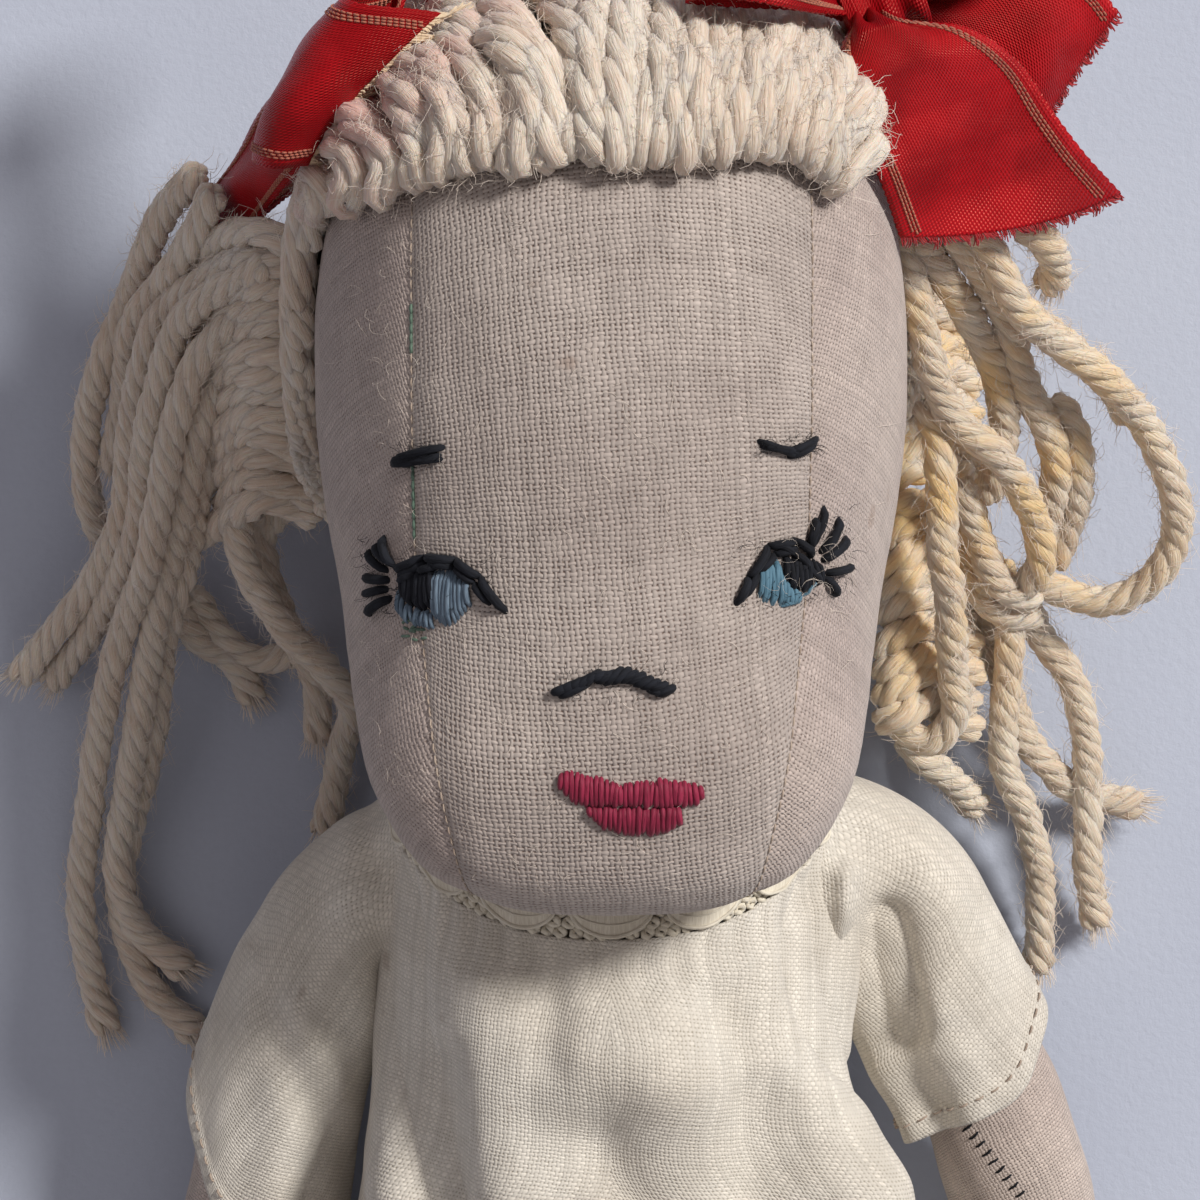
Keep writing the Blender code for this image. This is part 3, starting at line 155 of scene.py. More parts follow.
def cloth_place(tree, turn=0.0):
    """The place on the cloth in millimetres, its grid turned by an angle."""
    uv = tree.nodes.new("ShaderNodeUVMap")
    uv.uv_map = "cloth"
    if not turn:
        return uv.outputs[0]
    return add(tree, "Mapping", uv.outputs[0], None, (0, 0, math.radians(turn))).outputs[0]


def weave_group():
    """Plain weave: in, a place counted in threads and how wide a thread is; out, height, variation and cover."""
    tree = bpy.data.node_groups.new("plain_weave", "ShaderNodeTree")
    for name in ("Place", "Width"):
        kind = "NodeSocketVector" if name == "Place" else "NodeSocketFloat"
        tree.interface.new_socket(name, in_out="INPUT", socket_type=kind)
    for name in ("Height", "Variation", "Cover"):
        tree.interface.new_socket(name, in_out="OUTPUT", socket_type="NodeSocketFloat")
    source = tree.nodes.new("NodeGroupInput")
    sink = tree.nodes.new("NodeGroupOutput")
    wander = noise(tree, source.outputs[0], 0.09, 2.0)
    finer = noise(tree, source.outputs[0], 0.55, 1.0)
    shift = add(tree, "VectorMath", wander.outputs["Color"], (-0.5, -0.5, -0.5), operation="ADD").outputs[0]
    shift = add(tree, "VectorMath", shift, (1.5, 1.5, 0.0), operation="MULTIPLY").outputs[0]
    shift2 = add(tree, "VectorMath", finer.outputs["Color"], (-0.5, -0.5, -0.5), operation="ADD").outputs[0]
    shift2 = add(tree, "VectorMath", shift2, (0.5, 0.5, 0.0), operation="MULTIPLY").outputs[0]
    spot = add(tree, "VectorMath", source.outputs[0], shift, operation="ADD").outputs[0]
    spot = add(tree, "VectorMath", spot, shift2, operation="ADD").outputs[0]
    split = add(tree, "SeparateXYZ", spot)
    heights, tones = [], []
    for own, other in ((0, 1), (1, 0)):
        a, b = split.outputs[own], split.outputs[other]
        index = calc(tree, "FLOOR", a)
        seed = add(tree, "CombineXYZ", index, 3.7 + own * 11.3, 0.5).outputs[0]
        random_of = add(tree, "TexWhiteNoise", seed)
        tone = random_of.outputs["Value"]
        stretch = add(tree, "CombineXYZ", calc(tree, "MULTIPLY", index, 7.31),
                      calc(tree, "MULTIPLY", b, 0.16), own * 5.0)
        slub = noise(tree, stretch.outputs[0], 1.0, 1.0).outputs["Fac"]
        width = calc(tree, "MULTIPLY_ADD", ramp(tree, slub, 0.35, 0.72), 0.34, source.outputs[1])
        width = calc(tree, "MULTIPLY_ADD", tone, 0.16, width)
        off = calc(tree, "ABSOLUTE", calc(tree, "MULTIPLY_ADD", calc(tree, "FRACT", a), 2.0, -1.0))
        profile = calc(tree, "DIVIDE", off, width)
        profile = calc(tree, "SUBTRACT", 1.0, calc(tree, "MULTIPLY", profile, profile))
        turns = calc(tree, "MULTIPLY", calc(tree, "ADD", calc(tree, "SUBTRACT", b, 0.5), index), math.pi)
        wave = calc(tree, "COSINE", turns)
        sign = 0.42 if own == 0 else -0.42
        heights.append(calc(tree, "MULTIPLY_ADD", wave, sign, profile))
        tones.append(tone)
    top = calc(tree, "MAXIMUM", heights[0], heights[1])
    is_first = calc(tree, "GREATER_THAN", heights[0], heights[1])
    tone = add(tree, "Mix", is_first, tones[1], tones[0], data_type="FLOAT").outputs[0]
    tree.links.new(calc(tree, "MAXIMUM", top, -0.5), sink.inputs[0])
    tree.links.new(tone, sink.inputs[1])
    tree.links.new(ramp(tree, top, -0.15, 0.75), sink.inputs[2])
    return tree


WEAVE = weave_group()


def woven(name, light, dark, gap_and_shade, pitch, turn, width=0.62, bump=0.12, sheen=0.25, stain=0.35):
    """Plain-woven cloth, its threads at a pitch in millimetres, with uneven tone, worn patches, small spots, and the
    gaps between threads coloured as the stuffing behind them with painted shade.
    """
    made, tree, shader = blank(name)
    where = cloth_place(tree, turn)
    counted = add(tree, "VectorMath", where, (1 / pitch[0], 1 / pitch[1], 1.0),
                  operation="MULTIPLY").outputs[0]
    weave = tree.nodes.new("ShaderNodeGroup")
    weave.node_tree = WEAVE
    tree.links.new(counted, weave.inputs[0])
    weave.inputs[1].default_value = width
    solid = tree.nodes.new("ShaderNodeTexCoord").outputs["Object"]
    patches = noise(tree, solid, 42, 4.0, 0.6).outputs["Fac"]
    small = noise(tree, solid, 260, 3.0, 0.6).outputs["Fac"]
    tone = mix(tree, ramp(tree, patches, 0.32, 0.68), dark, light)
    fleck = calc(tree, "MULTIPLY_ADD", weave.outputs[1], 0.22, 0.80)
    fleck = calc(tree, "ADD", fleck, calc(tree, "MULTIPLY_ADD", small, 0.30, -0.13))
    tone = mix(tree, 1.0, tone, add(tree, "CombineColor", fleck, fleck, fleck).outputs[0], "MULTIPLY")
    spots = ramp(tree, noise(tree, solid, 190, 1.0).outputs["Fac"], 0.735, 0.80)
    tone = mix(tree, calc(tree, "MULTIPLY", spots, stain), tone, (0.23, 0.13, 0.08))
    # Between the threads: the stuffing seen through the gaps, darkened with painted shade
    colour = mix(tree, weave.outputs[2], gap_and_shade, tone)
    tree.links.new(colour, shader.inputs["Base Color"])
    shader.inputs["Sheen Weight"].default_value = sheen
    shader.inputs["Sheen Roughness"].default_value = 0.5
    shader.inputs["Specular IOR Level"].default_value = 0.25
    rough = calc(tree, "MULTIPLY_ADD", small, 0.14, 0.80)
    tree.links.new(rough, shader.inputs["Roughness"])
    height = calc(tree, "MULTIPLY_ADD", small, 0.6, weave.outputs[0])
    lift = add(tree, "Bump", 0.9, bump * MM)
    tree.links.new(height, lift.inputs["Height"])
    tree.links.new(lift.outputs[0], shader.inputs["Normal"])
    return made


def fibrous(name, light, dark, across, along, bump, rough=0.85, sheen=0.4, tint=None, inner=0.0):
    """Spun thread or yarn: fine fibres along each ply, counted round it and along it."""
    made, tree, shader = blank(name)
    where = cloth_place(tree)
    fine = add(tree, "Mapping", where, None, None, (across, along, 1.0)).outputs[0]
    lines = noise(tree, fine, 1.0, 3.0, 0.65).outputs["Fac"]
    solid = tree.nodes.new("ShaderNodeTexCoord").outputs["Object"]
    broad = noise(tree, solid, 60, 3.0, 0.6).outputs["Fac"]
    share = calc(tree, "ADD", calc(tree, "MULTIPLY", lines, 0.75), calc(tree, "MULTIPLY", broad, 0.45))
    tone = mix(tree, ramp(tree, share, 0.42, 0.76), dark, light)
    # tint: a colour spread round one spot and broken up by noise; on the amber yarn it is a painted glow of light
    # shining through the hair
    if tint is not None:
        colour, spot, reach = tint
        away = add(tree, "VectorMath", solid, tuple(c * MM for c in spot),
                   operation="DISTANCE").outputs["Value"]
        near = ramp(tree, away, reach * MM, reach * 0.25 * MM, 0.0, 0.85)
        near = calc(tree, "MULTIPLY", near,
                    ramp(tree, noise(tree, solid, 150, 2.0).outputs["Fac"], 0.38, 0.66))
        tone = mix(tree, near, tone, colour)
    tree.links.new(tone, shader.inputs["Base Color"])
    shader.inputs["Sheen Weight"].default_value = sheen
    shader.inputs["Sheen Roughness"].default_value = 0.45
    shader.inputs["Specular IOR Level"].default_value = 0.3
    if inner:
        shader.inputs["Subsurface Weight"].default_value = inner
        shader.inputs["Subsurface Radius"].default_value = (1.0, 0.62, 0.36)
        shader.inputs["Subsurface Scale"].default_value = 1.6 * MM
    tree.links.new(calc(tree, "MULTIPLY_ADD", lines, 0.2, rough - 0.1), shader.inputs["Roughness"])
    lift = add(tree, "Bump", 0.8, bump * MM)
    tree.links.new(lines, lift.inputs["Height"])
    tree.links.new(lift.outputs[0], shader.inputs["Normal"])
    return made


def satin(name, light, dark):
    """Woven satin ribbon: fine slanting floats, gloss that changes with the light's side, and small creases."""
    made, tree, shader = blank(name)
    where = cloth_place(tree)
    split = add(tree, "SeparateXYZ", where)
    floats = calc(tree, "SINE", calc(tree, "MULTIPLY", split.outputs[0], TAU / 0.36))
    slanted = calc(tree, "MULTIPLY_ADD", split.outputs[0], 0.8, split.outputs[1])
    picks = calc(tree, "SINE", calc(tree, "MULTIPLY", slanted, TAU / 0.46))
    weave = calc(tree, "ADD", calc(tree, "MULTIPLY", floats, 0.35), calc(tree, "MULTIPLY", picks, 0.65))
    solid = tree.nodes.new("ShaderNodeTexCoord").outputs["Object"]
    broad = noise(tree, solid, 90, 4.0, 0.6).outputs["Fac"]
    folds = noise(tree, solid, 210, 3.0, 0.55).outputs["Fac"]
    stretched = add(tree, "Mapping", where, None, None, (3.2, 0.25, 1.0)).outputs[0]
    streak = noise(tree, stretched, 1.0, 3.0).outputs["Fac"]
    share = calc(tree, "ADD", broad, calc(tree, "MULTIPLY", weave, 0.12))
    tone = mix(tree, ramp(tree, share, 0.3, 0.75), dark, light)
    tree.links.new(tone, shader.inputs["Base Color"])
    tree.links.new(calc(tree, "MULTIPLY_ADD", streak, 0.22, 0.24), shader.inputs["Roughness"])
    shader.inputs["Anisotropic"].default_value = 0.6
    shader.inputs["Specular IOR Level"].default_value = 0.38
    shader.inputs["Specular Tint"].default_value = (1.0, 0.42, 0.30, 1.0)
    height = calc(tree, "ADD", weave, calc(tree, "MULTIPLY", broad, 3.0))
    height = calc(tree, "ADD", height, calc(tree, "MULTIPLY", folds, 2.2))
    lift = add(tree, "Bump", 0.7, 0.09 * MM)
    tree.links.new(height, lift.inputs["Height"])
    tree.links.new(lift.outputs[0], shader.inputs["Normal"])
    return made


def paper_floor():
    made, tree, shader = blank("floor_board")
    solid = tree.nodes.new("ShaderNodeTexCoord").outputs["Object"]
    grain = noise(tree, solid, 900, 3.0, 0.7).outputs["Fac"]
    broad = noise(tree, solid, 9, 3.0).outputs["Fac"]
    tone = mix(tree, ramp(tree, broad, 0.3, 0.7), (0.455, 0.495, 0.60), (0.51, 0.555, 0.655))
    tone = mix(tree, ramp(tree, grain, 0.35, 0.7, 0.0, 0.10), tone, (0.36, 0.395, 0.485))
    tree.links.new(tone, shader.inputs["Base Color"])
    shader.inputs["Roughness"].default_value = 0.85
    lift = add(tree, "Bump", 0.5, 0.2 * MM)
    tree.links.new(grain, lift.inputs["Height"])
    tree.links.new(lift.outputs[0], shader.inputs["Normal"])
    return made


LINEN_FACE = woven("linen_face", (0.54, 0.47, 0.425), (0.44, 0.375, 0.34), (0.19, 0.13, 0.105),
                   (0.585, 0.53), 4.5)
LINEN_SIDE = woven("linen_side", (0.57, 0.48, 0.43), (0.475, 0.39, 0.355), (0.23, 0.165, 0.14),
                   (0.47, 0.42), 21)
LINEN_SKIN = woven("linen_limbs", (0.64, 0.54, 0.475), (0.55, 0.45, 0.40), (0.28, 0.20, 0.17), (0.46, 0.42),
                   8)
COTTON = woven("cream_cotton", (0.79, 0.745, 0.665), (0.70, 0.645, 0.56), (0.40, 0.35, 0.27), (0.44, 0.44), 7,
               width=0.68, bump=0.08, stain=0.25)
BODY_CLOTH = woven("body_lining", (0.66, 0.60, 0.50), (0.58, 0.52, 0.43), (0.30, 0.25, 0.19), (0.46, 0.46), 3)
YARN = fibrous("cotton_yarn", (0.84, 0.745, 0.64), (0.67, 0.52, 0.405), 9.0, 0.30, 0.6,
               tint=((0.68, 0.37, 0.33), (-27, 139, 60), 30), inner=0.3)
# The amber round this spot is a painted glow: light shining through the side hair, painted into the yarn's colour
YARN_PAINTED_GLOW = fibrous("cotton_yarn_painted_glow", (0.84, 0.74, 0.61), (0.66, 0.50, 0.355), 9.0, 0.30, 0.6,
                     tint=((0.90, 0.60, 0.27), (32, 98, 26), 46), inner=0.3)
FUZZ = fibrous("loose_fibre", (0.87, 0.79, 0.70), (0.76, 0.65, 0.55), 1.0, 0.3, 0.05)
DARK = fibrous("dark_thread", (0.012, 0.014, 0.021), (0.003, 0.0035, 0.006), 3.0, 0.6, 0.2, rough=0.85,
               sheen=0.02)
BLUE = fibrous("blue_thread", (0.165, 0.225, 0.29), (0.07, 0.11, 0.16), 3.0, 0.5, 0.12, rough=0.7, sheen=0.15)
BRIGHT = fibrous("bright_blue_thread", (0.13, 0.25, 0.33), (0.06, 0.14, 0.20), 3.0, 0.5, 0.12, rough=0.7,
                 sheen=0.15)
GREEN = fibrous("green_thread", (0.13, 0.20, 0.15), (0.07, 0.12, 0.09), 3.0, 0.5, 0.1, rough=0.7, sheen=0.2)
ROSE = fibrous("rose_thread", (0.31, 0.020, 0.062), (0.14, 0.006, 0.024), 3.0, 0.5, 0.14, rough=0.6,
               sheen=0.15)
COPPER = fibrous("copper_thread", (0.55, 0.20, 0.12), (0.30, 0.06, 0.04), 3.0, 0.8, 0.1, rough=0.6, sheen=0.2)
SEWING = fibrous("sewing_thread", (0.50, 0.41, 0.33), (0.32, 0.24, 0.19), 3.0, 0.8, 0.06)
LACE = fibrous("lace_thread", (0.80, 0.75, 0.63), (0.60, 0.54, 0.43), 4.0, 0.5, 0.12)
FRINGE_RED = fibrous("ribbon_fray", (0.50, 0.015, 0.02), (0.26, 0.004, 0.008), 2.0, 0.4, 0.05, rough=0.5)
FRINGE_CREAM = fibrous("cream_weft", (0.80, 0.66, 0.46), (0.62, 0.42, 0.28), 2.0, 0.4, 0.05)
SATIN = satin("red_satin", (0.50, 0.008, 0.015), (0.26, 0.002, 0.006))

# Meshes


def unit(v):
    v = np.asarray(v, float)
    return v / np.maximum(np.linalg.norm(v, axis=-1, keepdims=True), 1e-9)


def way_along(line):
    """The distance along a line at each of its points."""
    return np.concatenate(([0.0], np.cumsum(np.linalg.norm(np.diff(line, axis=0), axis=1))))


def at_way(at, way, line):
    """The place on a line at a distance along it."""
    return np.stack([np.interp(at, way, line[:, c]) for c in range(3)], -1)


class Pile:
    """Collects points in millimetres, faces and their place on the cloth, and makes one mesh of them."""

    def __init__(self):
        self.points, self.faces, self.marks, self.slots = [], [], [], []
        self.count = 0

    def grid(self, points, cloth, wraps=False, slot=0, flip=False):
        """Quads over rows of points. cloth has one more column than points where the grid wraps round."""
        points = np.asarray(points, float)
        rows, across = points.shape[:2]
        base = self.count
        self.points.append(points.reshape(-1, 3))
        self.count += rows * across
        last = across if wraps else across - 1
        i, j = np.meshgrid(np.arange(rows - 1), np.arange(last), indexing="ij")
        k = (j + 1) % across
        quads = np.stack((base + i * across + j, base + i * across + k,
                          base + (i + 1) * across + k, base + (i + 1) * across + j), -1).reshape(-1, 4)
        cloth = np.asarray(cloth, float)
        marks = np.stack((cloth[i, j], cloth[i, j + 1], cloth[i + 1, j + 1], cloth[i + 1, j]),
                         -2).reshape(-1, 4, 2)
        if flip:
            quads, marks = quads[:, ::-1], marks[:, ::-1]
        self.faces.append(quads)
        self.marks.append(marks)
        self.slots.append(np.full(len(quads), slot))
        return base

    def fan(self, ring, tip, cloth, tip_cloth, slot=0, flip=False):
        """Triangles from a ring of point numbers to a tip."""
        self.points.append(np.asarray([tip], float))
        middle = self.count
        self.count += 1
        ring = np.asarray(ring)
        after = np.roll(ring, -1)
        faces = np.stack((ring, after, np.full(len(ring), middle)), -1)
        cloth = np.asarray(cloth, float)
        marks = np.stack((cloth[:-1], cloth[1:], np.broadcast_to(tip_cloth, (len(ring), 2))), -2)
        if flip:
            faces, marks = faces[:, ::-1], marks[:, ::-1]
        self.faces.append(faces)
        self.marks.append(marks)
        self.slots.append(np.full(len(faces), slot))

    def tube(self, line, radius, around=8, cloth_start=0.0):
        """A closed tube with pointed ends along a line of points; radius is one number or one for each point."""
        line = np.asarray(line, float)
        count = len(line)
        radius = np.broadcast_to(np.asarray(radius, float), (count,))
        wide, tall = frames(line)
        angle = np.linspace(0, TAU, around, endpoint=False)
        ring = wide[:, None] * np.cos(angle)[None, :, None] + tall[:, None] * np.sin(angle)[None, :, None]
        points = line[:, None] + ring * radius[:, None, None]
        way = way_along(line) + cloth_start
        turn = np.linspace(0, 1, around + 1)
        cloth = np.stack(np.broadcast_arrays(turn[None, :] * 3.0 + cloth_start, way[:, None]), -1)
        base = self.grid(points, cloth, wraps=True)
        reach = radius[[0, -1]] * 0.5
        along = unit(line[[1, -1]] - line[[0, -2]])
        self.fan(np.arange(around) + base, line[0] - along[0] * reach[0], cloth[0], cloth[0].mean(0),
                 flip=True)
        self.fan(np.arange(around) + base + (count - 1) * around, line[-1] + along[1] * reach[1], cloth[-1],
                 cloth[-1].mean(0))

    def many(self, lines, radius):
        """Fine three-sided fibres, each a row of points, thinner towards its tip."""
        lines = np.asarray(lines, float)
        total, steps = lines.shape[:2]
        along = unit(np.gradient(lines, axis=1))
        wide = unit(np.cross(along, np.array((0.31, 0.52, 0.79))))
        tall = np.cross(wide, along)
        angle = np.arange(3) * TAU / 3
        ring = wide[:, :, None] * np.cos(angle)[:, None] + tall[:, :, None] * np.sin(angle)[:, None]
        thin = radius * (1 - 0.6 * np.linspace(0, 1, steps))
        points = lines[:, :, None] + ring * thin[None, :, None, None]
        n, i, k = np.meshgrid(np.arange(total), np.arange(steps - 1), np.arange(3), indexing="ij")
        low, high, after = (n * steps + i) * 3, (n * steps + i + 1) * 3, (k + 1) % 3
        quads = np.stack((low + k, low + after, high + after, high + k), -1).reshape(-1, 4) + self.count
        self.points.append(points.reshape(-1, 3))
        self.count += total * steps * 3
        self.faces.append(quads)
        share = np.linspace(0, 1, steps)
        marks = np.stack(np.broadcast_arrays(k / 3.0, share[i] * 3.0), -1)
        self.marks.append(np.repeat(marks.reshape(-1, 1, 2), 4, 1))
        self.slots.append(np.zeros(len(quads), int))

    def object(self, name, *materials):
        mesh = bpy.data.meshes.new(name)
        points = np.concatenate(self.points) * MM
        sizes = np.concatenate([np.full(len(f), f.shape[1]) for f in self.faces])
        corners = np.concatenate([f.reshape(-1) for f in self.faces])
        mesh.vertices.add(len(points))
        mesh.vertices.foreach_set("co", points.astype(np.float32).reshape(-1))
        mesh.loops.add(len(corners))
        mesh.loops.foreach_set("vertex_index", corners.astype(np.int32))
        mesh.polygons.add(len(sizes))
        starts = np.concatenate(([0], np.cumsum(sizes)[:-1]))
        mesh.polygons.foreach_set("loop_start", starts.astype(np.int32))
        mesh.polygons.foreach_set("material_index", np.concatenate(self.slots).astype(np.int32))
        layer = mesh.uv_layers.new(name="cloth")
        marks = np.concatenate([m.reshape(-1, 2) for m in self.marks])
        layer.data.foreach_set("uv", marks.astype(np.float32).reshape(-1))
        mesh.update(calc_edges=True)
        mesh.validate()
        mesh.shade_smooth()
        for one in materials:
            mesh.materials.append(one)
        made = bpy.data.objects.new(name, mesh)
        bpy.context.scene.collection.objects.link(made)
        return made


def frames(line):
    """Two directions across a line at each point, carried along it without twist."""
    line = np.asarray(line, float)
    along = np.gradient(line, axis=0)
    along = unit(along)
    start = np.array((0.0, 0.0, 1.0))
    if abs(along[0] @ start) > 0.9:
        start = np.array((1.0, 0.0, 0.0))
    wide = np.zeros_like(line)
    wide[0] = unit(np.cross(along[0], start))
    for i in range(1, len(line)):
        side = wide[i - 1] - along[i] * (wide[i - 1] @ along[i])
        wide[i] = side / max(np.linalg.norm(side), 1e-9)
    return wide, np.cross(wide, along)


VOXEL_MM, SLACK_MM, FRAMES, PRESSURE = 4.0, 0.5, 20, 80.0


def coordinates(mesh, key="co"):
    flat = np.empty(len(mesh.vertices) * 3)
    (mesh.vertices if key == "co" else mesh.vertex_normals).foreach_get("co" if key == "co" else "vector",
                            flat)
    return flat.reshape(-1, 3)


def tree_of(points):
    tree = KDTree(len(points))
    for index, point in enumerate(points):
        tree.insert(point, index)
    tree.balance()
    return tree


def stuffed(made, columns, seams, cap):
    """Cloth simulation of a stuffed skin: a coarse copy swells between its seams, and the fine skin follows it."""
    fine = coordinates(made.data)
    coarse = bpy.data.objects.new(made.name + "_coarse", made.data.copy())
    bpy.context.scene.collection.objects.link(coarse)
    slack = fine - coordinates(made.data, "normal") * SLACK_MM * MM
    coarse.data.vertices.foreach_set("co", slack.reshape(-1))
    bpy.context.view_layer.objects.active = coarse
    grid = coarse.modifiers.new("grid", "REMESH")
    grid.mode = "VOXEL"
    grid.voxel_size = VOXEL_MM * MM
    bpy.ops.object.modifier_apply(modifier=grid.name)
    start = coordinates(coarse.data)
    near = tree_of(fine)
    held = [i for i, point in enumerate(start) if near.find(point)[1] % columns in seams]
    coarse.vertex_groups.new(name="seam").add(held, 1.0, "REPLACE")
    cloth = coarse.modifiers.new("cloth", "CLOTH")
    cloth.settings.vertex_group_mass = "seam"
    cloth.settings.use_pressure = True
    cloth.settings.uniform_pressure_force = PRESSURE
    cloth.settings.effector_weights.gravity = 0
    cloth.point_cache.frame_end = FRAMES
    for number in range(1, FRAMES + 1):
        bpy.context.scene.frame_set(number)
    swollen = coordinates(coarse.evaluated_get(bpy.context.evaluated_depsgraph_get()).data)
    bpy.context.scene.frame_set(1)
    move = swollen - start
    reach = np.linalg.norm(move, axis=1, keepdims=True)
    move = move * np.minimum(1.0, cap * MM / np.maximum(reach, 1e-9))
    bpy.data.objects.remove(coarse)
    around = tree_of(start)
    moved = np.empty_like(fine)
    for index, point in enumerate(fine):
        found = around.find_n(point, 6)
        weight = np.array([1 / (one[2] ** 2 + 1e-7) for one in found])
        moved[index] = point + (move[[one[1] for one in found]] * weight[:, None]).sum(0) / weight.sum()
    moved[:, 2] = np.maximum(moved[:, 2], 0.00002)
    made.data.vertices.foreach_set("co", moved.reshape(-1))
    made.data.update()


def smooth_line(points, step):
    """Points at an even step along a smooth curve through the given ones."""
    points = np.asarray(points, float)
    if len(points) < 3:
        count = max(2, int(np.linalg.norm(points[-1] - points[0]) / step) + 1)
        return points[0] + (points[-1] - points[0]) * np.linspace(0, 1, count)[:, None]
    padded = np.vstack((2 * points[0] - points[1], points, 2 * points[-1] - points[-2]))
    out = []
    for a, b, c, d in zip(padded, padded[1:], padded[2:], padded[3:]):
        t = np.linspace(0, 1, 16, endpoint=False)[:, None]
        out.append(0.5 * (2 * b + (c - a) * t + (2 * a - 5 * b + 4 * c - d) * t**2 + (3 * b - a - 3 * c + d) * t**3))
    out = np.vstack(out + [points[-1:]])
    way = way_along(out)
    count = max(3, int(round(way[-1] / step)) + 1)
    even = np.linspace(0, way[-1], count)
    return at_way(even, way, out)


def smooth_table(table, at):
    """The table's other columns at each place of its first column, along a curve that doesn't overshoot."""
    rows = np.array(table, float)
    x = rows[:, 0]
    at = np.clip(np.asarray(at, float), x[0], x[-1])
    index = np.clip(np.searchsorted(x, at, side="right") - 1, 0, len(x) - 2)
    width = np.diff(x)
    t = (at - x[index]) / width[index]
    out = []
    for column in range(1, rows.shape[1]):
        y = rows[:, column]
        slope = np.diff(y) / width
        m = np.empty(len(x))
        m[0], m[-1] = slope[0], slope[-1]
        same = slope[:-1] * slope[1:] > 0
        total = np.where(same, slope[:-1] + slope[1:], 1.0)
        m[1:-1] = np.where(same, 2 * slope[:-1] * slope[1:] / total, 0.0)
        h = width[index]
        value = (2 * t**3 - 3 * t**2 + 1) * y[index] + (t**3 - 2 * t**2 + t) * h * m[index]
        value += (-2 * t**3 + 3 * t**2) * y[index + 1] + (t**3 - t**2) * h * m[index + 1]
        out.append(value)
    return out


# Head

HEAD_HEIGHT, HEAD_WIDTH, HEAD_DEPTH, CHIN_Y, HAIR_DEPTH = 95.0, 65.4, 70.0, 47.0, 5.2
POWER = 2.4
SEAM_X, NECK_SEAM_X = 20.5, 12.2
HEAD_CENTRE = np.array((0.0, CHIN_Y + HEAD_HEIGHT * 0.48, HAIR_DEPTH + HEAD_DEPTH / 2))
NECK_THETA, NECK_OPEN, JAW_THETA = math.radians(203), math.radians(27), math.radians(160)
head_shares = [
    (0.000, 0.00, 0.82, 0.82), (0.006, 0.25, 0.775, 0.865), (0.021, 0.43, 0.735, 0.90), (0.053, 0.60, 0.685,
                            0.94),
    (0.116, 0.735, 0.605, 0.975), (0.158, 0.79, 0.535, 0.99), (0.200, 0.82, 0.42, 1.00), (0.242, 0.845,
                            0.28, 1.00),
    (0.284, 0.865, 0.15, 1.00), (0.347, 0.895, 0.045, 1.00), (0.463, 0.963, 0.00, 1.00), (0.579, 1.00, 0.00,
                            1.00),
    (0.663, 1.00, 0.00, 1.00), (0.747, 0.98, 0.01, 1.00), (0.821, 0.92, 0.04, 0.985), (0.874, 0.83, 0.09,
                            0.95),
    (0.937, 0.65, 0.19, 0.86), (0.979, 0.40, 0.32, 0.72), (0.994, 0.22, 0.41, 0.61), (1.000, 0.00, 0.50,
                            0.50),
]


def head_far(points):
    share = (points[..., 1] - CHIN_Y) / HEAD_HEIGHT
    half, back, front = smooth_table(head_shares, share)
    half = np.maximum(half * HEAD_WIDTH / 2, 0.005)
    low, high = HAIR_DEPTH + back * HEAD_DEPTH, HAIR_DEPTH + front * HEAD_DEPTH
    deep = np.maximum((high - low) / 2, 0.005)
    far = (np.abs(points[..., 0]) / half) ** POWER + (np.abs(points[...,
                            2] - (low + high) / 2) / deep) ** POWER
    return np.where((share < 0) | (share > 1), 9.0, far)


def head_points(directions, out=0.0):
    directions = np.asarray(directions, float)
    low = np.zeros(directions.shape[:-1])
    high = np.full(directions.shape[:-1], HEAD_HEIGHT)
    for _ in range(34):
        middle = (low + high) / 2
        inside = head_far(HEAD_CENTRE + directions * middle[..., None]) < 1
        low = np.where(inside, middle, low)
        high = np.where(inside, high, middle)
    return HEAD_CENTRE + directions * (low + out)[..., None]


def turned(theta, phi):
    theta, phi = np.broadcast_arrays(np.asarray(theta, float), np.asarray(phi, float))
    return np.stack((np.sin(phi), np.cos(phi) * np.cos(theta), np.cos(phi) * np.sin(theta)), -1)


def seam_at(theta):
    away = np.abs((theta - NECK_THETA + math.pi) % TAU - math.pi)
    share = np.clip((away - NECK_OPEN) / math.radians(70), 0, 1)
    share = share * share * (3 - 2 * share)
    return NECK_SEAM_X + (SEAM_X - NECK_SEAM_X) * share


def seam_phi(theta, x):
    low, high = np.zeros_like(theta), np.full_like(theta, math.radians(85))
    for _ in range(20):
        middle = (low + high) / 2
        here = head_points(turned(theta, middle))[..., 0]
        low = np.where(here < x, middle, low)
        high = np.where(here < x, high, middle)
    return low


def spread(start, end, count):
    fine = np.linspace(start, end, 600)
    away = (fine - JAW_THETA + math.pi) % TAU - math.pi
    weight = 1 + 1.6 * np.exp(-((away / math.radians(38)) ** 2))
    way = np.concatenate(([0.0], np.cumsum((weight[1:] + weight[:-1]) / 2)))
    return np.interp(np.linspace(0, way[-1], count), way, fine)


# Soft hollows and bulges of the stuffed face in front view: x, y, width, height, rise
face_forms = [
    (-16.5, 83, 8, 7, -0.55), (17.5, 84, 7, 7, -0.5), (1, 74, 7, 7, 0.45), (14, 63, 8, 8, 0.65), (-14, 62,
                            8, 8, 0.55),
    (1.6, 60, 8, 3.2, 0.35), (2, 53, 9, 4, 0.45), (0, 108, 19, 15, 0.6), (-7, 66, 3.5, 6, -0.25), (9, 67,
                            3.5, 6, -0.25),
    (-26, 98, 5, 12, -0.3), (27, 98, 5, 12, -0.3),
]


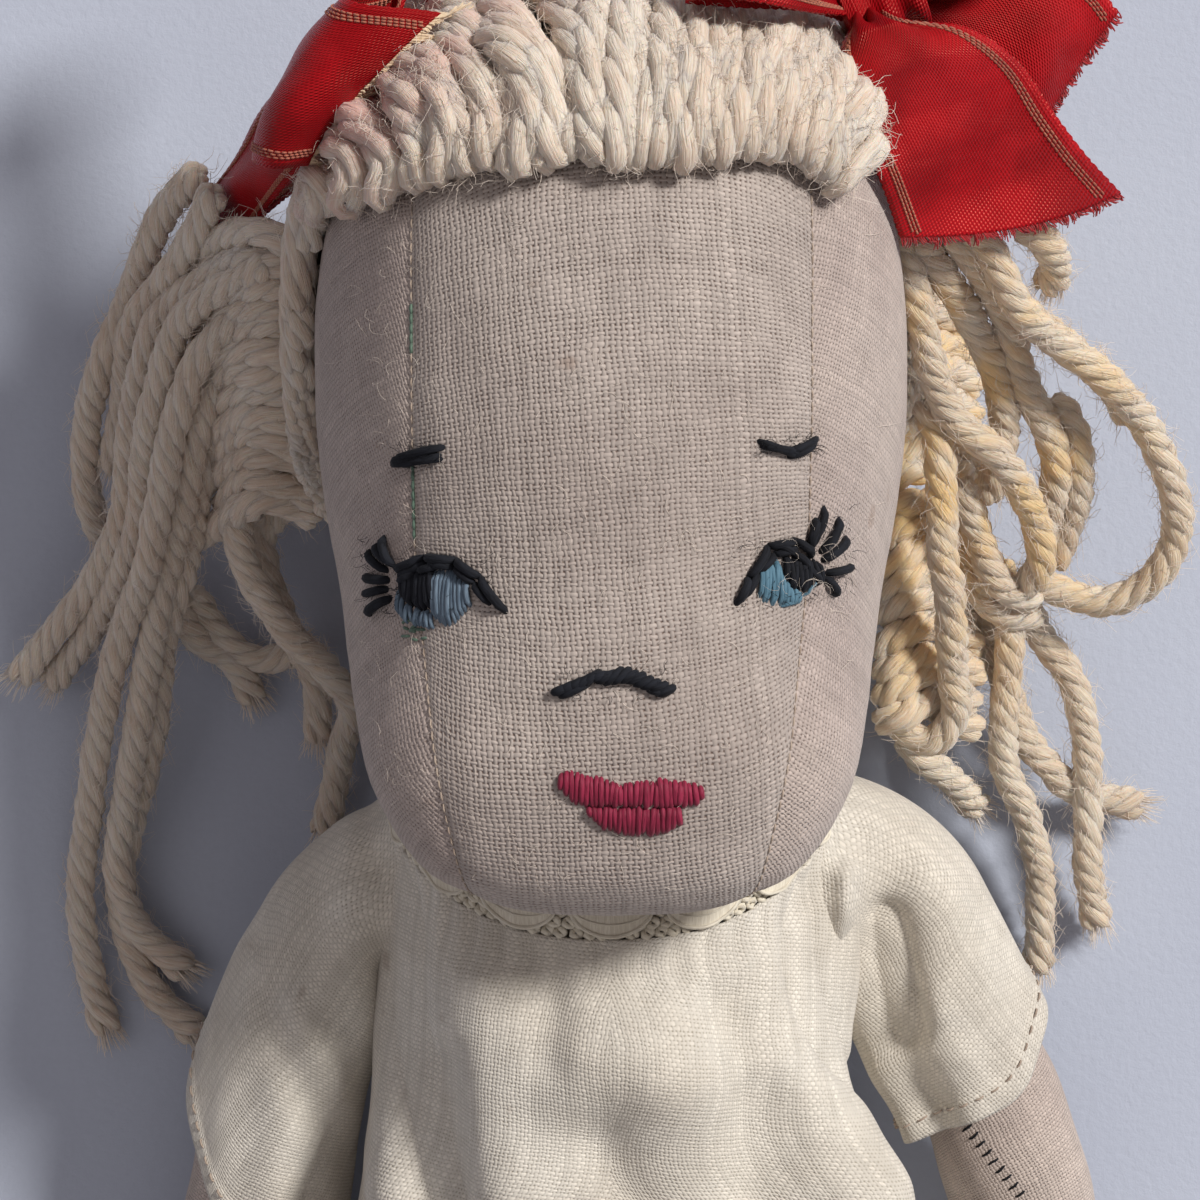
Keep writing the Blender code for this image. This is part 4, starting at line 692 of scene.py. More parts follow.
def head_form(points, away_from_seam, along_seam):
    """How far the stuffed cloth stands out or in: soft forms, a sewn groove along the seams and small puckers."""
    out = np.zeros(points.shape[:-1])
    front = np.clip((points[..., 2] - 45) / 15, 0, 1)
    for x, y, wide, tall, rise in face_forms:
        out += front * rise * np.exp(-((points[..., 0] - x) / wide) ** 2 - ((points[..., 1] - y) / tall) ** 2)
    d = np.abs(away_from_seam)
    out -= 0.20 * np.exp(-((d / 0.40) ** 2)) + 0.16 * np.exp(-((d / 2.4) ** 2))
    pucker = np.sin(along_seam * TAU / 3.1 + 1.2 * np.sin(along_seam * 0.31))
    out += 0.07 * pucker * np.exp(-d / 2.0) * np.clip(d, 0, 1)
    out += 0.10 * np.sin(points[..., 0] * 0.31 + 1.3 * np.sin(points[..., 1] * 0.17)) * np.sin(points[...,
                            1] * 0.23 + 0.7)
    return out


def head_cover():
    count = 330
    thetas = spread(NECK_THETA - TAU, NECK_THETA, count + 1)[:-1]
    edge = seam_phi(thetas, seam_at(thetas))
    centre = np.linspace(-1, 1, 73)
    side = np.linspace(0, 1, 31)[1:] ** 1.15 * 0.985
    left = -(edge[:, None] + (math.pi / 2 - edge[:, None]) * side[None, ::-1])
    right = edge[:, None] + (math.pi / 2 - edge[:, None]) * side[None, :]
    phi = np.hstack((left, edge[:, None] * centre[None], right))
    directions = turned(thetas[:, None], phi)
    base = head_points(directions)
    reach = np.linalg.norm(base - HEAD_CENTRE, axis=-1)
    way = way_along(head_points(turned(thetas, 0)))
    off = (np.abs(phi) - edge[:, None]) * reach
    form = head_form(base, off, np.broadcast_to(way[:, None], phi.shape))
    points = base + directions * form[..., None]
    # Cloth places: the middle panel by length across and along, the sides by distance from the ear
    step = np.linalg.norm(np.diff(points, axis=1), axis=-1)
    cross = np.concatenate((np.zeros((count, 1)), np.cumsum(step, axis=1)), 1)
    middle = len(side) + 36
    across = cross - cross[:, middle:middle + 1]
    cloth = np.stack((across, np.broadcast_to(way[:, None], across.shape)), -1)
    total = way[-1] + np.linalg.norm(points[0, middle] - points[-1, middle])
    last = cloth[:1].copy()
    last[..., 1] = total
    cloth = np.concatenate((cloth, last), 0)
    ear_left = cross
    ear_right = cross[:, -1:] - cross
    thetas_closed = np.append(thetas, thetas[0] + TAU)
    pile = Pile()
    pile.points.append(points.reshape(-1, 3))
    pile.count = count * phi.shape[1]
    first, second = len(side), len(side) + 72
    for mark, (start, end) in enumerate(((0, first), (first, second), (second, phi.shape[1] - 1))):
        marks = cloth
        if mark != 1:
            ear = ear_left if mark == 0 else ear_right
            ear = np.concatenate((ear, ear[:1]), 0)
            turn = thetas_closed[:, None]
            marks = np.stack((ear * np.cos(turn), ear * np.sin(turn)), -1)
        i, j = np.meshgrid(np.arange(count), np.arange(start, end), indexing="ij")
        k = (i + 1) % count
        wide = phi.shape[1]
        quads = np.stack((i * wide + j, k * wide + j, k * wide + j + 1, i * wide + j + 1), -1).reshape(-1, 4)
        corners = np.stack((marks[i, j], marks[i + 1, j], marks[i + 1, j + 1], marks[i, j + 1]),
                           -2).reshape(-1, 4, 2)
        pile.faces.append(quads)
        pile.marks.append(corners)
        pile.slots.append(np.full(len(quads), 0 if mark == 1 else 1))
    wide = phi.shape[1]
    zero = np.zeros((count + 1, 2))
    for column, sign, flip in ((0, -1, False), (wide - 1, 1, True)):
        ring = np.arange(count) * wide + column
        tip = head_points(np.array([(sign, 0.0, 0.0)]))[0]
        pile.fan(ring, tip, zero, (0, 0), slot=1, flip=not flip)
    made = pile.object("head_cover", LINEN_FACE, LINEN_SIDE)
    stuffed(made, wide, (first, second), 0.5)
    points = coordinates(made.data)[:count * wide].reshape(count, wide, 3) / MM
    seams = []
    for column in (first, second):
        seams.append((points[:, column].copy(), unit(directions[:, column])))
    return made, seams


head, seam_lines = head_cover()
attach(head, "head")
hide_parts("face_panel", "side_panel_l", "side_panel_r", "head_stuffing")
head_tree = BVHTree.FromObject(head, bpy.context.evaluated_depsgraph_get())


def on_face(px, py):
    """Where the camera's ray through a pixel meets the head, and which way the cloth faces there."""
    aim = place(px, py, 0.0) - CAMERA_MM
    hit = head_tree.ray_cast(Vector(CAMERA_MM * MM), Vector(unit(aim)))
    if hit[0] is None:
        return None, None
    return np.array(hit[0]) / MM, np.array(hit[1])


def stitch(pile, start, end, radius, rise=0.35, steps=7, sink=0.25):
    """One thread laid over the cloth between two pixels, its ends going into the cloth."""
    line, radii = [], []
    for i in range(steps):
        share = i / (steps - 1)
        spot, normal = on_face(start[0] + (end[0] - start[0]) * share, start[1] + (end[1] - start[1]) * share)
        if spot is None:
            return
        arch = 1 - (2 * share - 1) ** 4
        line.append(spot + normal * (-sink + (sink + radius * 0.55 + rise) * arch))
        radii.append(radius * (0.72 + 0.28 * arch))
    pile.tube(line, radii, 7, cloth_start=dice.random() * 40)


def stitch_line(pile, points, radius, rise):
    """Stitches that follow one another along a line of pixels."""
    for a, b in zip(points, points[1:]):
        stitch(pile, a, b, radius, rise, 6)


def satin_stitch(pile, outline, spacing, radius, wobble=1.2, rise=0.25):
    """Upright stitches side by side: outline is (px, top, bottom) along the shape."""
    rows = np.array(outline, float)
    x = rows[0, 0]
    while x <= rows[-1, 0]:
        top = np.interp(x, rows[:, 0], rows[:, 1]) + dice.uniform(-wobble, wobble)
        low = np.interp(x, rows[:, 0], rows[:, 2]) + dice.uniform(-wobble, wobble)
        lean = dice.uniform(-1.5, 1.5)
        if low - top > 3:
            stitch(pile, (x + lean, top), (x - lean, low), radius * dice.uniform(0.88, 1.12),
                   rise + dice.uniform(0, 0.12), 6)
        x += spacing * dice.uniform(0.85, 1.15)


def sewn(pile, name, material, slot_name, *nodes):
    made = pile.object(name, material)
    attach(made, "head")
    if nodes:
        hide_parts(*nodes)
    return made


PX = 0.1  # millimetres that a pixel of the view covers on the face

# Brows
brow = Pile()
for offset in (0, 5, 10):
    stitch(brow, (391, 462 + offset * 0.3), (432 + offset, 449 + offset), 0.42, 0.35)
stitch(brow, (396, 458), (444, 447), 0.45, 0.55)
stitch(brow, (402, 466), (441, 455), 0.40, 0.30)
sewn(brow, "brow_stitches_r", DARK, "dark_thread", "brow_r")
brow = Pile()
stitch(brow, (758, 441), (797, 456), 0.42, 0.35)
stitch(brow, (761, 446), (800, 452), 0.42, 0.45)
stitch(brow, (784, 452), (818, 438), 0.44, 0.5)
stitch(brow, (788, 457), (816, 443), 0.40, 0.35)
sewn(brow, "brow_stitches_l", DARK, "dark_thread", "brow_l")

# Eye in the image's left
lashes = Pile()
for tip, root in (((384, 537), (394, 566)), ((369, 551), (388, 571)), ((367, 577), (389, 580)),
                  ((366, 594), (388, 589)),
                  ((369, 614), (391, 598)), ((377, 545), (392, 562))):
    stitch(lashes, tip, root, dice.uniform(0.46, 0.56), 0.45)
stitch_line(lashes, [(396, 570), (425, 557), (456, 560), (480, 577), (506, 612)], 0.50, 0.45)
stitch_line(lashes, [(398, 577), (428, 563), (455, 567), (474, 583), (490, 604)], 0.42, 0.40)
stitch_line(lashes, [(400, 583), (420, 570), (440, 566)], 0.42, 0.5)
sewn(lashes, "lid_stitches_r", DARK, "dark_thread", "lid_r")
pupil = Pile()
satin_stitch(pupil, [(405, 570, 600), (412, 567, 607), (424, 567, 611), (434, 568, 606)], 4.2, 0.36,
             rise=0.35)
sewn(pupil, "pupil_r", DARK, "dark_thread")
iris = Pile()
satin_stitch(iris, [(436, 569, 621), (446, 569, 627), (456, 571, 624), (466, 577, 612), (472, 585, 602)],
             3.6, 0.30)
satin_stitch(iris, [(400, 588, 614), (406, 600, 622), (422, 610, 628), (436, 611, 629)], 4.0, 0.26, rise=0.12)
sewn(iris, "iris_r", BLUE, "blue_thread", "eye_r")
patch = Pile()
for _ in range(16):
    x, y = dice.uniform(396, 424), dice.uniform(618, 640)
    stitch(patch, (x, y), (x + dice.uniform(5, 11), y + dice.uniform(-6, 3)), 0.16, 0.02, 5, 0.2)
sewn(patch, "faded_stitches_r", GREEN, "blue_thread")

# Eye in the image's right
lashes = Pile()
for tip, root in (((824, 507), (810, 548)), ((839, 519), (820, 552)), ((846, 538), (822, 560)),
                  ((851, 566), (826, 573)),
                  ((835, 595), (824, 578)), ((816, 520), (806, 548))):
    stitch(lashes, tip, root, dice.uniform(0.44, 0.54), 0.45)
stitch_line(lashes, [(736, 604), (748, 578), (768, 546), (795, 540), (812, 556)], 0.48, 0.42)
stitch_line(lashes, [(743, 598), (757, 572), (774, 554), (796, 548)], 0.42, 0.38)
stitch_line(lashes, [(776, 544), (792, 553), (806, 566), (818, 584)], 0.42, 0.50)
sewn(lashes, "lid_stitches_l", DARK, "dark_thread", "lid_l")
pupil = Pile()
satin_stitch(pupil, [(784, 556, 584), (792, 556, 592), (806, 557, 592), (818, 562, 584)], 4.2, 0.36,
             rise=0.35)
sewn(pupil, "pupil_l", DARK, "dark_thread")
iris = Pile()
satin_stitch(iris, [(760, 566, 598), (768, 560, 605), (778, 558, 607), (786, 584, 606), (796, 592, 603)],
             3.6, 0.30)
sewn(iris, "iris_l", BRIGHT, "blue_thread", "eye_l")
line = Pile()
stitch_line(line, [(780, 607), (802, 597), (820, 574)], 0.20, 0.30)
sewn(line, "iris_edge_l", BRIGHT, "blue_thread")

# Short fibres that stand off the dark threads round the eyes
dark_fuzz = Pile()
for left, top, right, low in ((364, 536, 404, 616), (398, 552, 508, 612), (806, 506, 850, 596),
                        (734, 540, 812, 606),
                              (392, 444, 444, 468), (758, 436, 818, 458), (560, 668, 666, 700)):
    for _ in range(46):
        px, py = dice.uniform(left, right), dice.uniform(top, low)
        turn, reach = dice.uniform(0, TAU), dice.uniform(4, 11)
        spots = []
        for i in range(4):
            d = i / 3
            spot, norm = on_face(px + reach * d * math.cos(turn + d), py + reach * d * math.sin(turn + d))
            spots.append(spot + norm * (0.45 + 0.7 * d * dice.uniform(0.4, 1.3)))
        dark_fuzz.many(np.array([spots]), 0.042)
sewn(dark_fuzz, "dark_thread_fibres", DARK, "dark_thread")

# Nose and lips
nose = Pile()
for i in range(15):
    share = i / 14
    x = 561 + 104 * share
    y = 692 - 17 * math.sin(math.pi * share) ** 0.8 + dice.uniform(-1.5, 1.5)
    tall = 5 + 3 * math.sin(math.pi * share)
    stitch(nose, (x - 8, y + tall * dice.uniform(0.2, 1.1)), (x + 9, y - tall * dice.uniform(0.1, 1.0)),
           0.50, 0.40, 6)
stitch(nose, (560, 697), (590, 683), 0.42, 0.40)
stitch(nose, (648, 690), (667, 694), 0.40, 0.35)
sewn(nose, "nose_stitches", DARK, "dark_thread", "nose")
upper = Pile()
satin_stitch(upper, [(561, 774, 790), (572, 771, 802), (590, 775, 808), (606, 781, 807), (620, 786, 806),
                     (636, 781, 808),
                     (652, 780, 809), (672, 780, 808), (690, 783, 806), (705, 787,
                                             799)], 5.0, 0.34, 2.2, 0.16)
sewn(upper, "lip_stitches_upper", ROSE, "rose_thread", "lip_upper")
lower = Pile()
satin_stitch(lower, [(590, 806, 816), (602, 806, 828), (618, 806, 834), (640, 806, 836), (660, 806, 834),
                     (674, 806, 829),
                     (683, 806, 818)], 4.8, 0.34, 2.0, 0.18)
sewn(lower, "lip_stitches_lower", ROSE, "rose_thread", "lip_lower")

# Seam stitches along both seams of the head, with coloured ones where they show in the picture
seam_thread, green_thread = Pile(), Pile()
for side_index, (line, out) in enumerate(seam_lines):
    way = way_along(line)
    at = 0.0
    while at < way[-1] - 1:
        ends = [at_way(at + d, way, line) for d in (0.0, 0.45, 0.9)]
        norm = unit(at_way(at, way, out))
        lifted = [ends[0] + norm * 0.02, ends[1] + norm * 0.16, ends[2] + norm * 0.02]
        y, z = ends[1][1], ends[1][2]
        show = side_index == 0 and z > 50 and (86 < y < 95 or 105 < y < 110)
        (green_thread if show else seam_thread).tube(lifted, 0.20 if show else 0.11, 5, at)
        at += 1.25 if not show else 1.0
face_fuzz = Pile()
# Pale fibres lying over the eye in the image's right
for _ in range(30):
    px, py = dice.uniform(770, 846), dice.uniform(525, 598)
    turn, reach, spots = dice.uniform(0, TAU), dice.uniform(10, 26), []
    for i in range(6):
        d = i / 5
        spot, norm = on_face(px + reach * d * math.cos(turn + 2 * d), py + reach * d * math.sin(turn + 2 * d))
        if spot is None:
            break
        spots.append(spot + norm * (0.7 + 0.7 * math.sin(math.pi * d)))
    if len(spots) == 6:
        face_fuzz.many(np.array([spots]), 0.019)
for _ in range(620):
    px, py = dice.uniform(320, 880), dice.uniform(170, 890)
    turn, reach = dice.uniform(0, TAU), dice.uniform(6, 26)
    bend, spots = dice.uniform(-0.5, 0.5), []
    for i in range(5):
        d = i / 4
        heading = turn + bend * 3 * d
        spot, norm = on_face(px + reach * d * math.cos(heading), py + reach * d * math.sin(heading))
        if spot is None or norm[2] < 0.25:
            break
        spots.append(spot + norm * (0.06 + 0.22 * math.sin(math.pi * d) * dice.uniform(0.3, 1.6)))
    if len(spots) == 5:
        face_fuzz.many(np.array([spots]), dice.uniform(0.018, 0.030))
sewn(face_fuzz, "face_loose_fibres", FUZZ, "linen_skin")
sewn(seam_thread, "head_seam_stitches", SEWING, "linen_skin")
sewn(green_thread, "head_seam_green", GREEN, "linen_skin")

# Torso, arms and legs

HIP_Y, HIP_Z, SHOULDER_Y, TORSO_WIDTH, TORSO_DEPTH, TORSO_SIDE = -60.0, 20.0, 63.0, 74.0, 46.5, 25.3
TORSO_LENGTH = SHOULDER_Y - HIP_Y
GAP, ARM_RADIUS, ARM_LENGTH, ARM_Z, HAND_Z = 0.3, 9.0, 142.0, 24.0, 6.2
ARM_BEND, ARM_EASE, THUMB = 10.5, 28.0, 2.6
THICK_SHARE, THUMB_SHARE, THUMB_LONG_SHARE = 0.42, 0.835, 0.03
LEG_LENGTH, LEG_X, LEG_WIDTH, LEG_DEPTH, LEG_SPREAD, FOOT_HEIGHT = 190.0, 18.6, 31.0, 34.0, 7.0, 44.0
# Each arm: where it starts, how far it runs straight, and in degrees its angle at the seam, at the shoulder and below
arms = {
    "l": {
        "side": 1, "start_y": 48.0, "straight": 16.0, "set": 5, "shoulder": 28, "splay": 13,
        "sleeve": 35.0, "hem_rise": 9.0, "puff": 1.0, "slim": 0.85,
    },
    "r": {
        "side": -1, "start_y": 44.9, "straight": 0.0, "set": 15, "shoulder": 30, "splay": 10,
        "sleeve": 45.0, "hem_rise": 19.0, "puff": 0.4, "slim": 0.8,
    },
}
torso_shares = [
    (0.00, 0.88, 0.395, 0.410), (0.04, 0.90, 0.335, 0.475), (0.12, 0.97, 0.185, 0.620), (0.20, 1.00, 0.055,
                            0.770),
    (0.29, 0.965, 0.00, 0.870), (0.41, 0.87, 0.00, 0.935), (0.57, 0.73, 0.00, 0.975), (0.70, 0.68, 0.00,
                            0.990),
    (0.85, 0.680, 0.00, 1.00), (0.91, 0.675, 0.02, 0.975), (0.95, 0.655, 0.07, 0.890), (0.98, 0.55, 0.15,
                            0.790),
    (1.00, 0.36, 0.28, 0.660),
]
leg_shares = [
    (0.00, 0.90, 0.54, 0.56), (0.026, 0.92, 0.45, 0.64), (0.063, 0.96, 0.31, 0.78), (0.105, 0.99, 0.16, 0.93),
    (0.147, 1.00, 0.05, 0.995), (0.237, 1.00, 0.045, 1.00), (0.368, 0.97, 0.045, 0.95), (0.500, 0.88, -0.01,
                            0.83),
    (0.620, 0.86, -0.015, 0.79), (0.740, 0.82, -0.015, 0.74), (0.830, 0.74, -0.015, 0.67),
]
foot_shares = [
    (0.00, 0.735, -0.012, 0.515), (0.25, 0.72, -0.012, 0.60), (0.50, 0.76, -0.012, 0.86), (0.72, 0.80, 0.00,
                            0.98),
    (0.90, 0.74, 0.03, 0.97), (0.97, 0.62, 0.08, 0.92), (1.00, 0.40, 0.20, 0.78),
]
arm_shares = [
    (0.00, 1.00, 1.00), (0.12, 1.00, 1.00), (0.30, 1.00, 0.98), (0.48, 0.90, 0.86), (0.64, 0.80, 0.76),
    (0.76, 0.76, 0.70), (0.86, 0.96, 0.72), (0.94, 0.92, 0.66), (0.985, 0.62, 0.46), (1.00, 0.25, 0.20),
]


def section(angle, half, low, high):
    """Points of a rounded cross-section, the angle counted from the top towards +X."""
    s, c = np.sin(angle), np.cos(angle)
    x = half * np.sign(s) * np.abs(s) ** (2 / POWER)
    z = (low + high) / 2 + (high - low) / 2 * np.sign(c) * np.abs(c) ** (2 / POWER)
    return x, z


def torso_points(y, angle, out):
    y, angle, out = np.broadcast_arrays(np.asarray(y, float), np.asarray(angle, float),
                            np.asarray(out, float))
    half, low, high = smooth_table(torso_shares, (y - HIP_Y) / TORSO_LENGTH)
    x, z = section(angle, half * TORSO_WIDTH / 2 + out, 1.5 + low * TORSO_DEPTH - out,
                   1.5 + high * TORSO_DEPTH + out)
    return np.stack((x, y, z), -1)


def round_cloth(points):
    """Cloth places of a grid that runs round a form: length round it, and length along it."""
    loop = np.concatenate((points, points[:, :1]), 1)
    across = np.concatenate((np.zeros((len(loop), 1)),
                            np.cumsum(np.linalg.norm(np.diff(loop, axis=1), axis=-1), 1)), 1)
    across = across - across.mean(1, keepdims=True)
    down = np.linalg.norm(np.diff(points, axis=0), axis=-1).mean(1)
    along = np.concatenate(([0.0], np.cumsum(down)))
    return np.stack((across, np.broadcast_to(along[:, None], across.shape)), -1)


def torso_form():
    ys = np.concatenate((np.linspace(HIP_Y + 0.4, SHOULDER_Y - 2, 90),
                         SHOULDER_Y - np.array((1.2, 0.5, 0.0))))
    angle = np.linspace(0, TAU, 96, endpoint=False)
    points = torso_points(ys[:, None], angle[None], 0.0)
    pile = Pile()
    base = pile.grid(points, round_cloth(points), wraps=True)
    ring = np.arange(96) + base
    marks = round_cloth(points)
    pile.fan(ring, points[0].mean(0), marks[0], marks[0].mean(0), flip=True)
    pile.fan(ring + (len(ys) - 1) * 96, points[-1].mean(0), marks[-1], marks[-1].mean(0))
    made = pile.object("torso_body", BODY_CLOTH)
    stuffed(made, 96, (24, 72), 0.6)
    return made


torso = torso_form()
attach(torso, "torso")
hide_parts("torso")

neck_pile = Pile()
neck_ys = np.linspace(50, 76, 30)
turns = np.linspace(0, TAU, 48, endpoint=False)
neck_rows = []
for y in neck_ys:
    wide = 10.6 + 0.35 * math.sin(y * 0.9) * max(0.0, 1 - abs(y - 60) / 12)
    if y < 53:
        wide *= math.sqrt(max(0.05, 1 - ((53 - y) / 3.4) ** 2))
    ring = 1 + 0.02 * np.sin(turns * 7 + y * 0.5)
    neck_rows.append(np.stack((np.cos(turns) * wide * ring, np.full(48, y),
                            30 + np.sin(turns) * wide * ring), -1))
neck_rows = np.array(neck_rows)
base = neck_pile.grid(neck_rows, round_cloth(neck_rows), wraps=True)
marks = round_cloth(neck_rows)
neck_pile.fan(np.arange(48) + base, neck_rows[0].mean(0), marks[0], marks[0].mean(0), flip=True)
neck_pile.fan(np.arange(48) + base + 29 * 48, neck_rows[-1].mean(0), marks[-1], marks[-1].mean(0))
neck = neck_pile.object("neck_tube", LINEN_SKIN)
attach(neck, "head")
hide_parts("neck")


def eased(share):
    share = np.clip(share, 0, 1)
    return share * share * (3 - 2 * share)


def arm_course(shape):
    """Distances along the arm's middle line, with the place and the turn from sideways at each."""
    set_turn, shoulder, splay = (math.radians(shape[key]) for key in ("set", "shoulder", "splay"))
    along = np.linspace(-ARM_LENGTH / 8, ARM_LENGTH, 720)
    most = math.pi / 2 - shoulder
    turn = np.clip(set_turn + along / ARM_BEND, set_turn, most)
    bent = ARM_BEND * (most - set_turn) + shape["straight"]
    turn = turn + (shoulder - splay) * eased((along - bent) / ARM_EASE)
    step = np.diff(along)
    halfway = (turn[1:] + turn[:-1]) / 2
    x = np.concatenate(([0], np.cumsum(np.cos(halfway) * step)))
    y = np.concatenate(([0], np.cumsum(-np.sin(halfway) * step)))
    x = x - np.interp(0, along, x) + TORSO_SIDE + GAP
    y = y - np.interp(0, along, y) + shape["start_y"]
    z = ARM_Z + (HAND_Z - ARM_Z) * eased((along - ARM_BEND) / (ARM_LENGTH / 2))
    return along, x, y, z, turn


def arm_points(shape, along, angle, out):
    """Points on an arm or out from it; angle 0 is the side towards the body, and a quarter turn the top."""
    along, angle, out = np.broadcast_arrays(*(np.asarray(v, float) for v in (along, angle, out)))
    course = arm_course(shape)
    x, y, z, turn = (np.interp(along, course[0], column) for column in course[1:])
    share = along / ARM_LENGTH
    wide, tall = (v * ARM_RADIUS for v in smooth_table(arm_shares, share))
    thick = shape["slim"] + (1 - shape["slim"]) * eased(share / THICK_SHARE)
    thumb = THUMB * np.exp(-(((share - THUMB_SHARE) / THUMB_LONG_SHARE) ** 2)) * np.clip(np.cos(angle), 0,
                            1) ** 2
    inward = np.cos(angle) * (wide * thick + out + thumb)
    z = np.maximum(z + np.sin(angle) * (tall * thick + out), 0.02)
    return np.stack((shape["side"] * (x - np.sin(turn) * inward), y - np.cos(turn) * inward, z), -1)


def leaving(shape, angle, out, plane):
    """How far along the arm each line of its skin comes out of a plane beside the body."""
    low = np.full(len(angle), -ARM_LENGTH / 8)
    high = np.full(len(angle), ARM_LENGTH / 4)
    for _ in range(24):
        middle = (low + high) / 2
        inside = np.abs(arm_points(shape, middle, angle, out)[:, 0]) < plane
        low = np.where(inside, middle, low)
        high = np.where(inside, high, middle)
    return low


def closed_tube(name, points, material, flip, marks=None):
    """A closed skin over rings of points, its ends rounded in towards their middles."""
    marks = round_cloth(points) if marks is None else marks
    across = points.shape[1]
    pile = Pile()
    rings, places = [points], [marks]
    for shares, end, before in (((0.85, 0.6, 0.3), 0, 1), ((0.85, 0.6, 0.3), -1, -2)):
        middle = points[end].mean(0)
        outward = unit(middle - points[before].mean(0))
        extra = [middle + (points[end] - middle) * s + outward * 0.5 * (1 - s * s) for s in shares]
        mark_middle = marks[end].mean(0)
        extra_marks = [mark_middle + (marks[end] - mark_middle) * s for s in shares]
        if end == 0:
            rings.insert(0, np.array(extra[::-1]))
            places.insert(0, np.array(extra_marks[::-1]))
        else:
            rings.append(np.array(extra))
            places.append(np.array(extra_marks))
    rings, places = np.concatenate(rings), np.concatenate(places)
    base = pile.grid(rings, places, wraps=True, flip=flip)
    ring = np.arange(across) + base
    for row, turned_over in ((0, not flip), (len(rings) - 1, flip)):
        middle = rings[row].mean(0)
        pile.fan(ring + row * across, middle, places[row], places[row].mean(0), flip=turned_over)
    return pile.object(name, material)


def arm_form(mark):
    shape = arms[mark]
    turns = np.linspace(0, TAU, 64, endpoint=False)
    start = leaving(shape, turns, 0.0, TORSO_SIDE + GAP)
    share = np.concatenate((np.linspace(0, 0.955, 150), 1 - np.linspace(0.04, 0.0002, 14)))
    along = start[None] + (ARM_LENGTH - start[None]) * share[:, None]
    ripple = 0.16 * np.sin(along * 0.42 + 2 * np.sin(turns[None] + shape["side"]) + shape["side"])
    ripple = ripple * np.clip((along - 20) / 15, 0, 1) * np.clip((ARM_LENGTH - along) / 12, 0, 1)
    seam = -0.4 * np.exp(-((np.abs((turns + math.pi) % TAU - math.pi) / 0.10) ** 2))[None] * (along > 4)
    wrist = -0.5 * np.exp(-(((along - ARM_LENGTH * 0.79) / 3.0) ** 2))
    points = arm_points(shape, along, turns[None], ripple + seam + wrist)
    made = closed_tube("arm_cloth_" + mark, points, LINEN_SKIN, shape["side"] > 0)
    stuffed(made, 64, (0, 1, 63), 0.5)
    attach(made, "arm_" + mark)
    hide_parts("arm_" + mark)
    return made


def leg_size(along):
    along = np.asarray(along, float)
    ankle = leg_shares[-1][0] * LEG_LENGTH
    upper = smooth_table(leg_shares, along / LEG_LENGTH)
    share = (along - ankle) / (LEG_LENGTH - ankle)
    foot = smooth_table(foot_shares, share)
    is_leg = along <= ankle
    half = np.where(is_leg, upper[0], foot[0]) * LEG_WIDTH / 2
    low = np.where(is_leg, upper[1] * LEG_DEPTH + 0.3, foot[1] * FOOT_HEIGHT)
    high = np.where(is_leg, upper[2] * LEG_DEPTH + 0.3, foot[2] * FOOT_HEIGHT)
    return half, low, high


def leg_grid(side, along, turns, out):
    half, low, high = leg_size(along)
    middle = side * (LEG_X + LEG_SPREAD * np.asarray(along) / LEG_LENGTH)
    out = np.broadcast_to(out, (len(half), len(turns)))
    x, z = section(turns[None], half[:, None] + out, low[:, None] - out, high[:, None] + out)
    y = np.broadcast_to(HIP_Y - np.asarray(along)[:, None], x.shape)
    return np.stack((middle[:, None] + x, y, np.maximum(z, 0.02)), -1)


def leg_form(side, mark):
    along = np.concatenate((np.linspace(0.5, LEG_LENGTH - 5, 170), LEG_LENGTH - np.linspace(4.4, 0.0, 10)))
    turns = np.linspace(0, TAU, 64, endpoint=False)
    front = np.clip(np.cos(turns), 0, 1)[None]
    knee = -0.8 * np.exp(-(((along - 96) / 5.0) ** 2))[:, None] * front
    ankle = -0.7 * np.exp(-(((along - 158) / 3.0) ** 2))[:, None] * front
    ripple = 0.18 * np.sin(along[:, None] * 0.33 + 2 * np.sin(turns[None] + side))
    seam = np.zeros_like(turns)
    for at in (math.pi / 2, -math.pi / 2):
        seam -= 0.4 * np.exp(-((np.abs((turns - at + math.pi) % TAU - math.pi) / 0.08) ** 2))
    points = leg_grid(side, along, turns, knee + ankle + ripple + seam[None])
    made = closed_tube("leg_cloth_" + mark, points, LINEN_SKIN, True)
    stuffed(made, 64, (15, 16, 17, 47, 48, 49), 0.6)
    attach(made, "leg_" + mark)
    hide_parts("leg_" + mark)
    return made


limbs = {}
for side, mark in ((1, "l"), (-1, "r")):
    limbs["arm_" + mark] = arm_form(mark)
    limbs["leg_" + mark] = leg_form(side, mark)
arm_tree = BVHTree.FromObject(limbs["arm_l"], bpy.context.evaluated_depsgraph_get())
mending = Pile()
mend_start, mend_end, mend_count = (967, 1128), (1020, 1194), 9
for i in range(mend_count):
    share = i / (mend_count - 1)
    px = mend_start[0] + (mend_end[0] - mend_start[0]) * share
    py = mend_start[1] + (mend_end[1] - mend_start[1]) * share
    spots = []
    for d in (-1.0, -0.4, 0.4, 1.0):
        aim = place(px + 4.5 * d, py - 3.5 * d + dice.uniform(-1, 1), 0.0) - CAMERA_MM
        hit = arm_tree.ray_cast(Vector(CAMERA_MM * MM), Vector(unit(aim)))
        if hit[0] is not None:
            spots.append(np.array(hit[0]) / MM + np.array(hit[1]) * (0.14 if abs(d) < 0.9 else -0.1))
    if len(spots) == 4:
        mending.tube(spots, 0.15, 5, i)
mending = mending.object("arm_mending_stitches", DARK)
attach(mending, "arm_l")


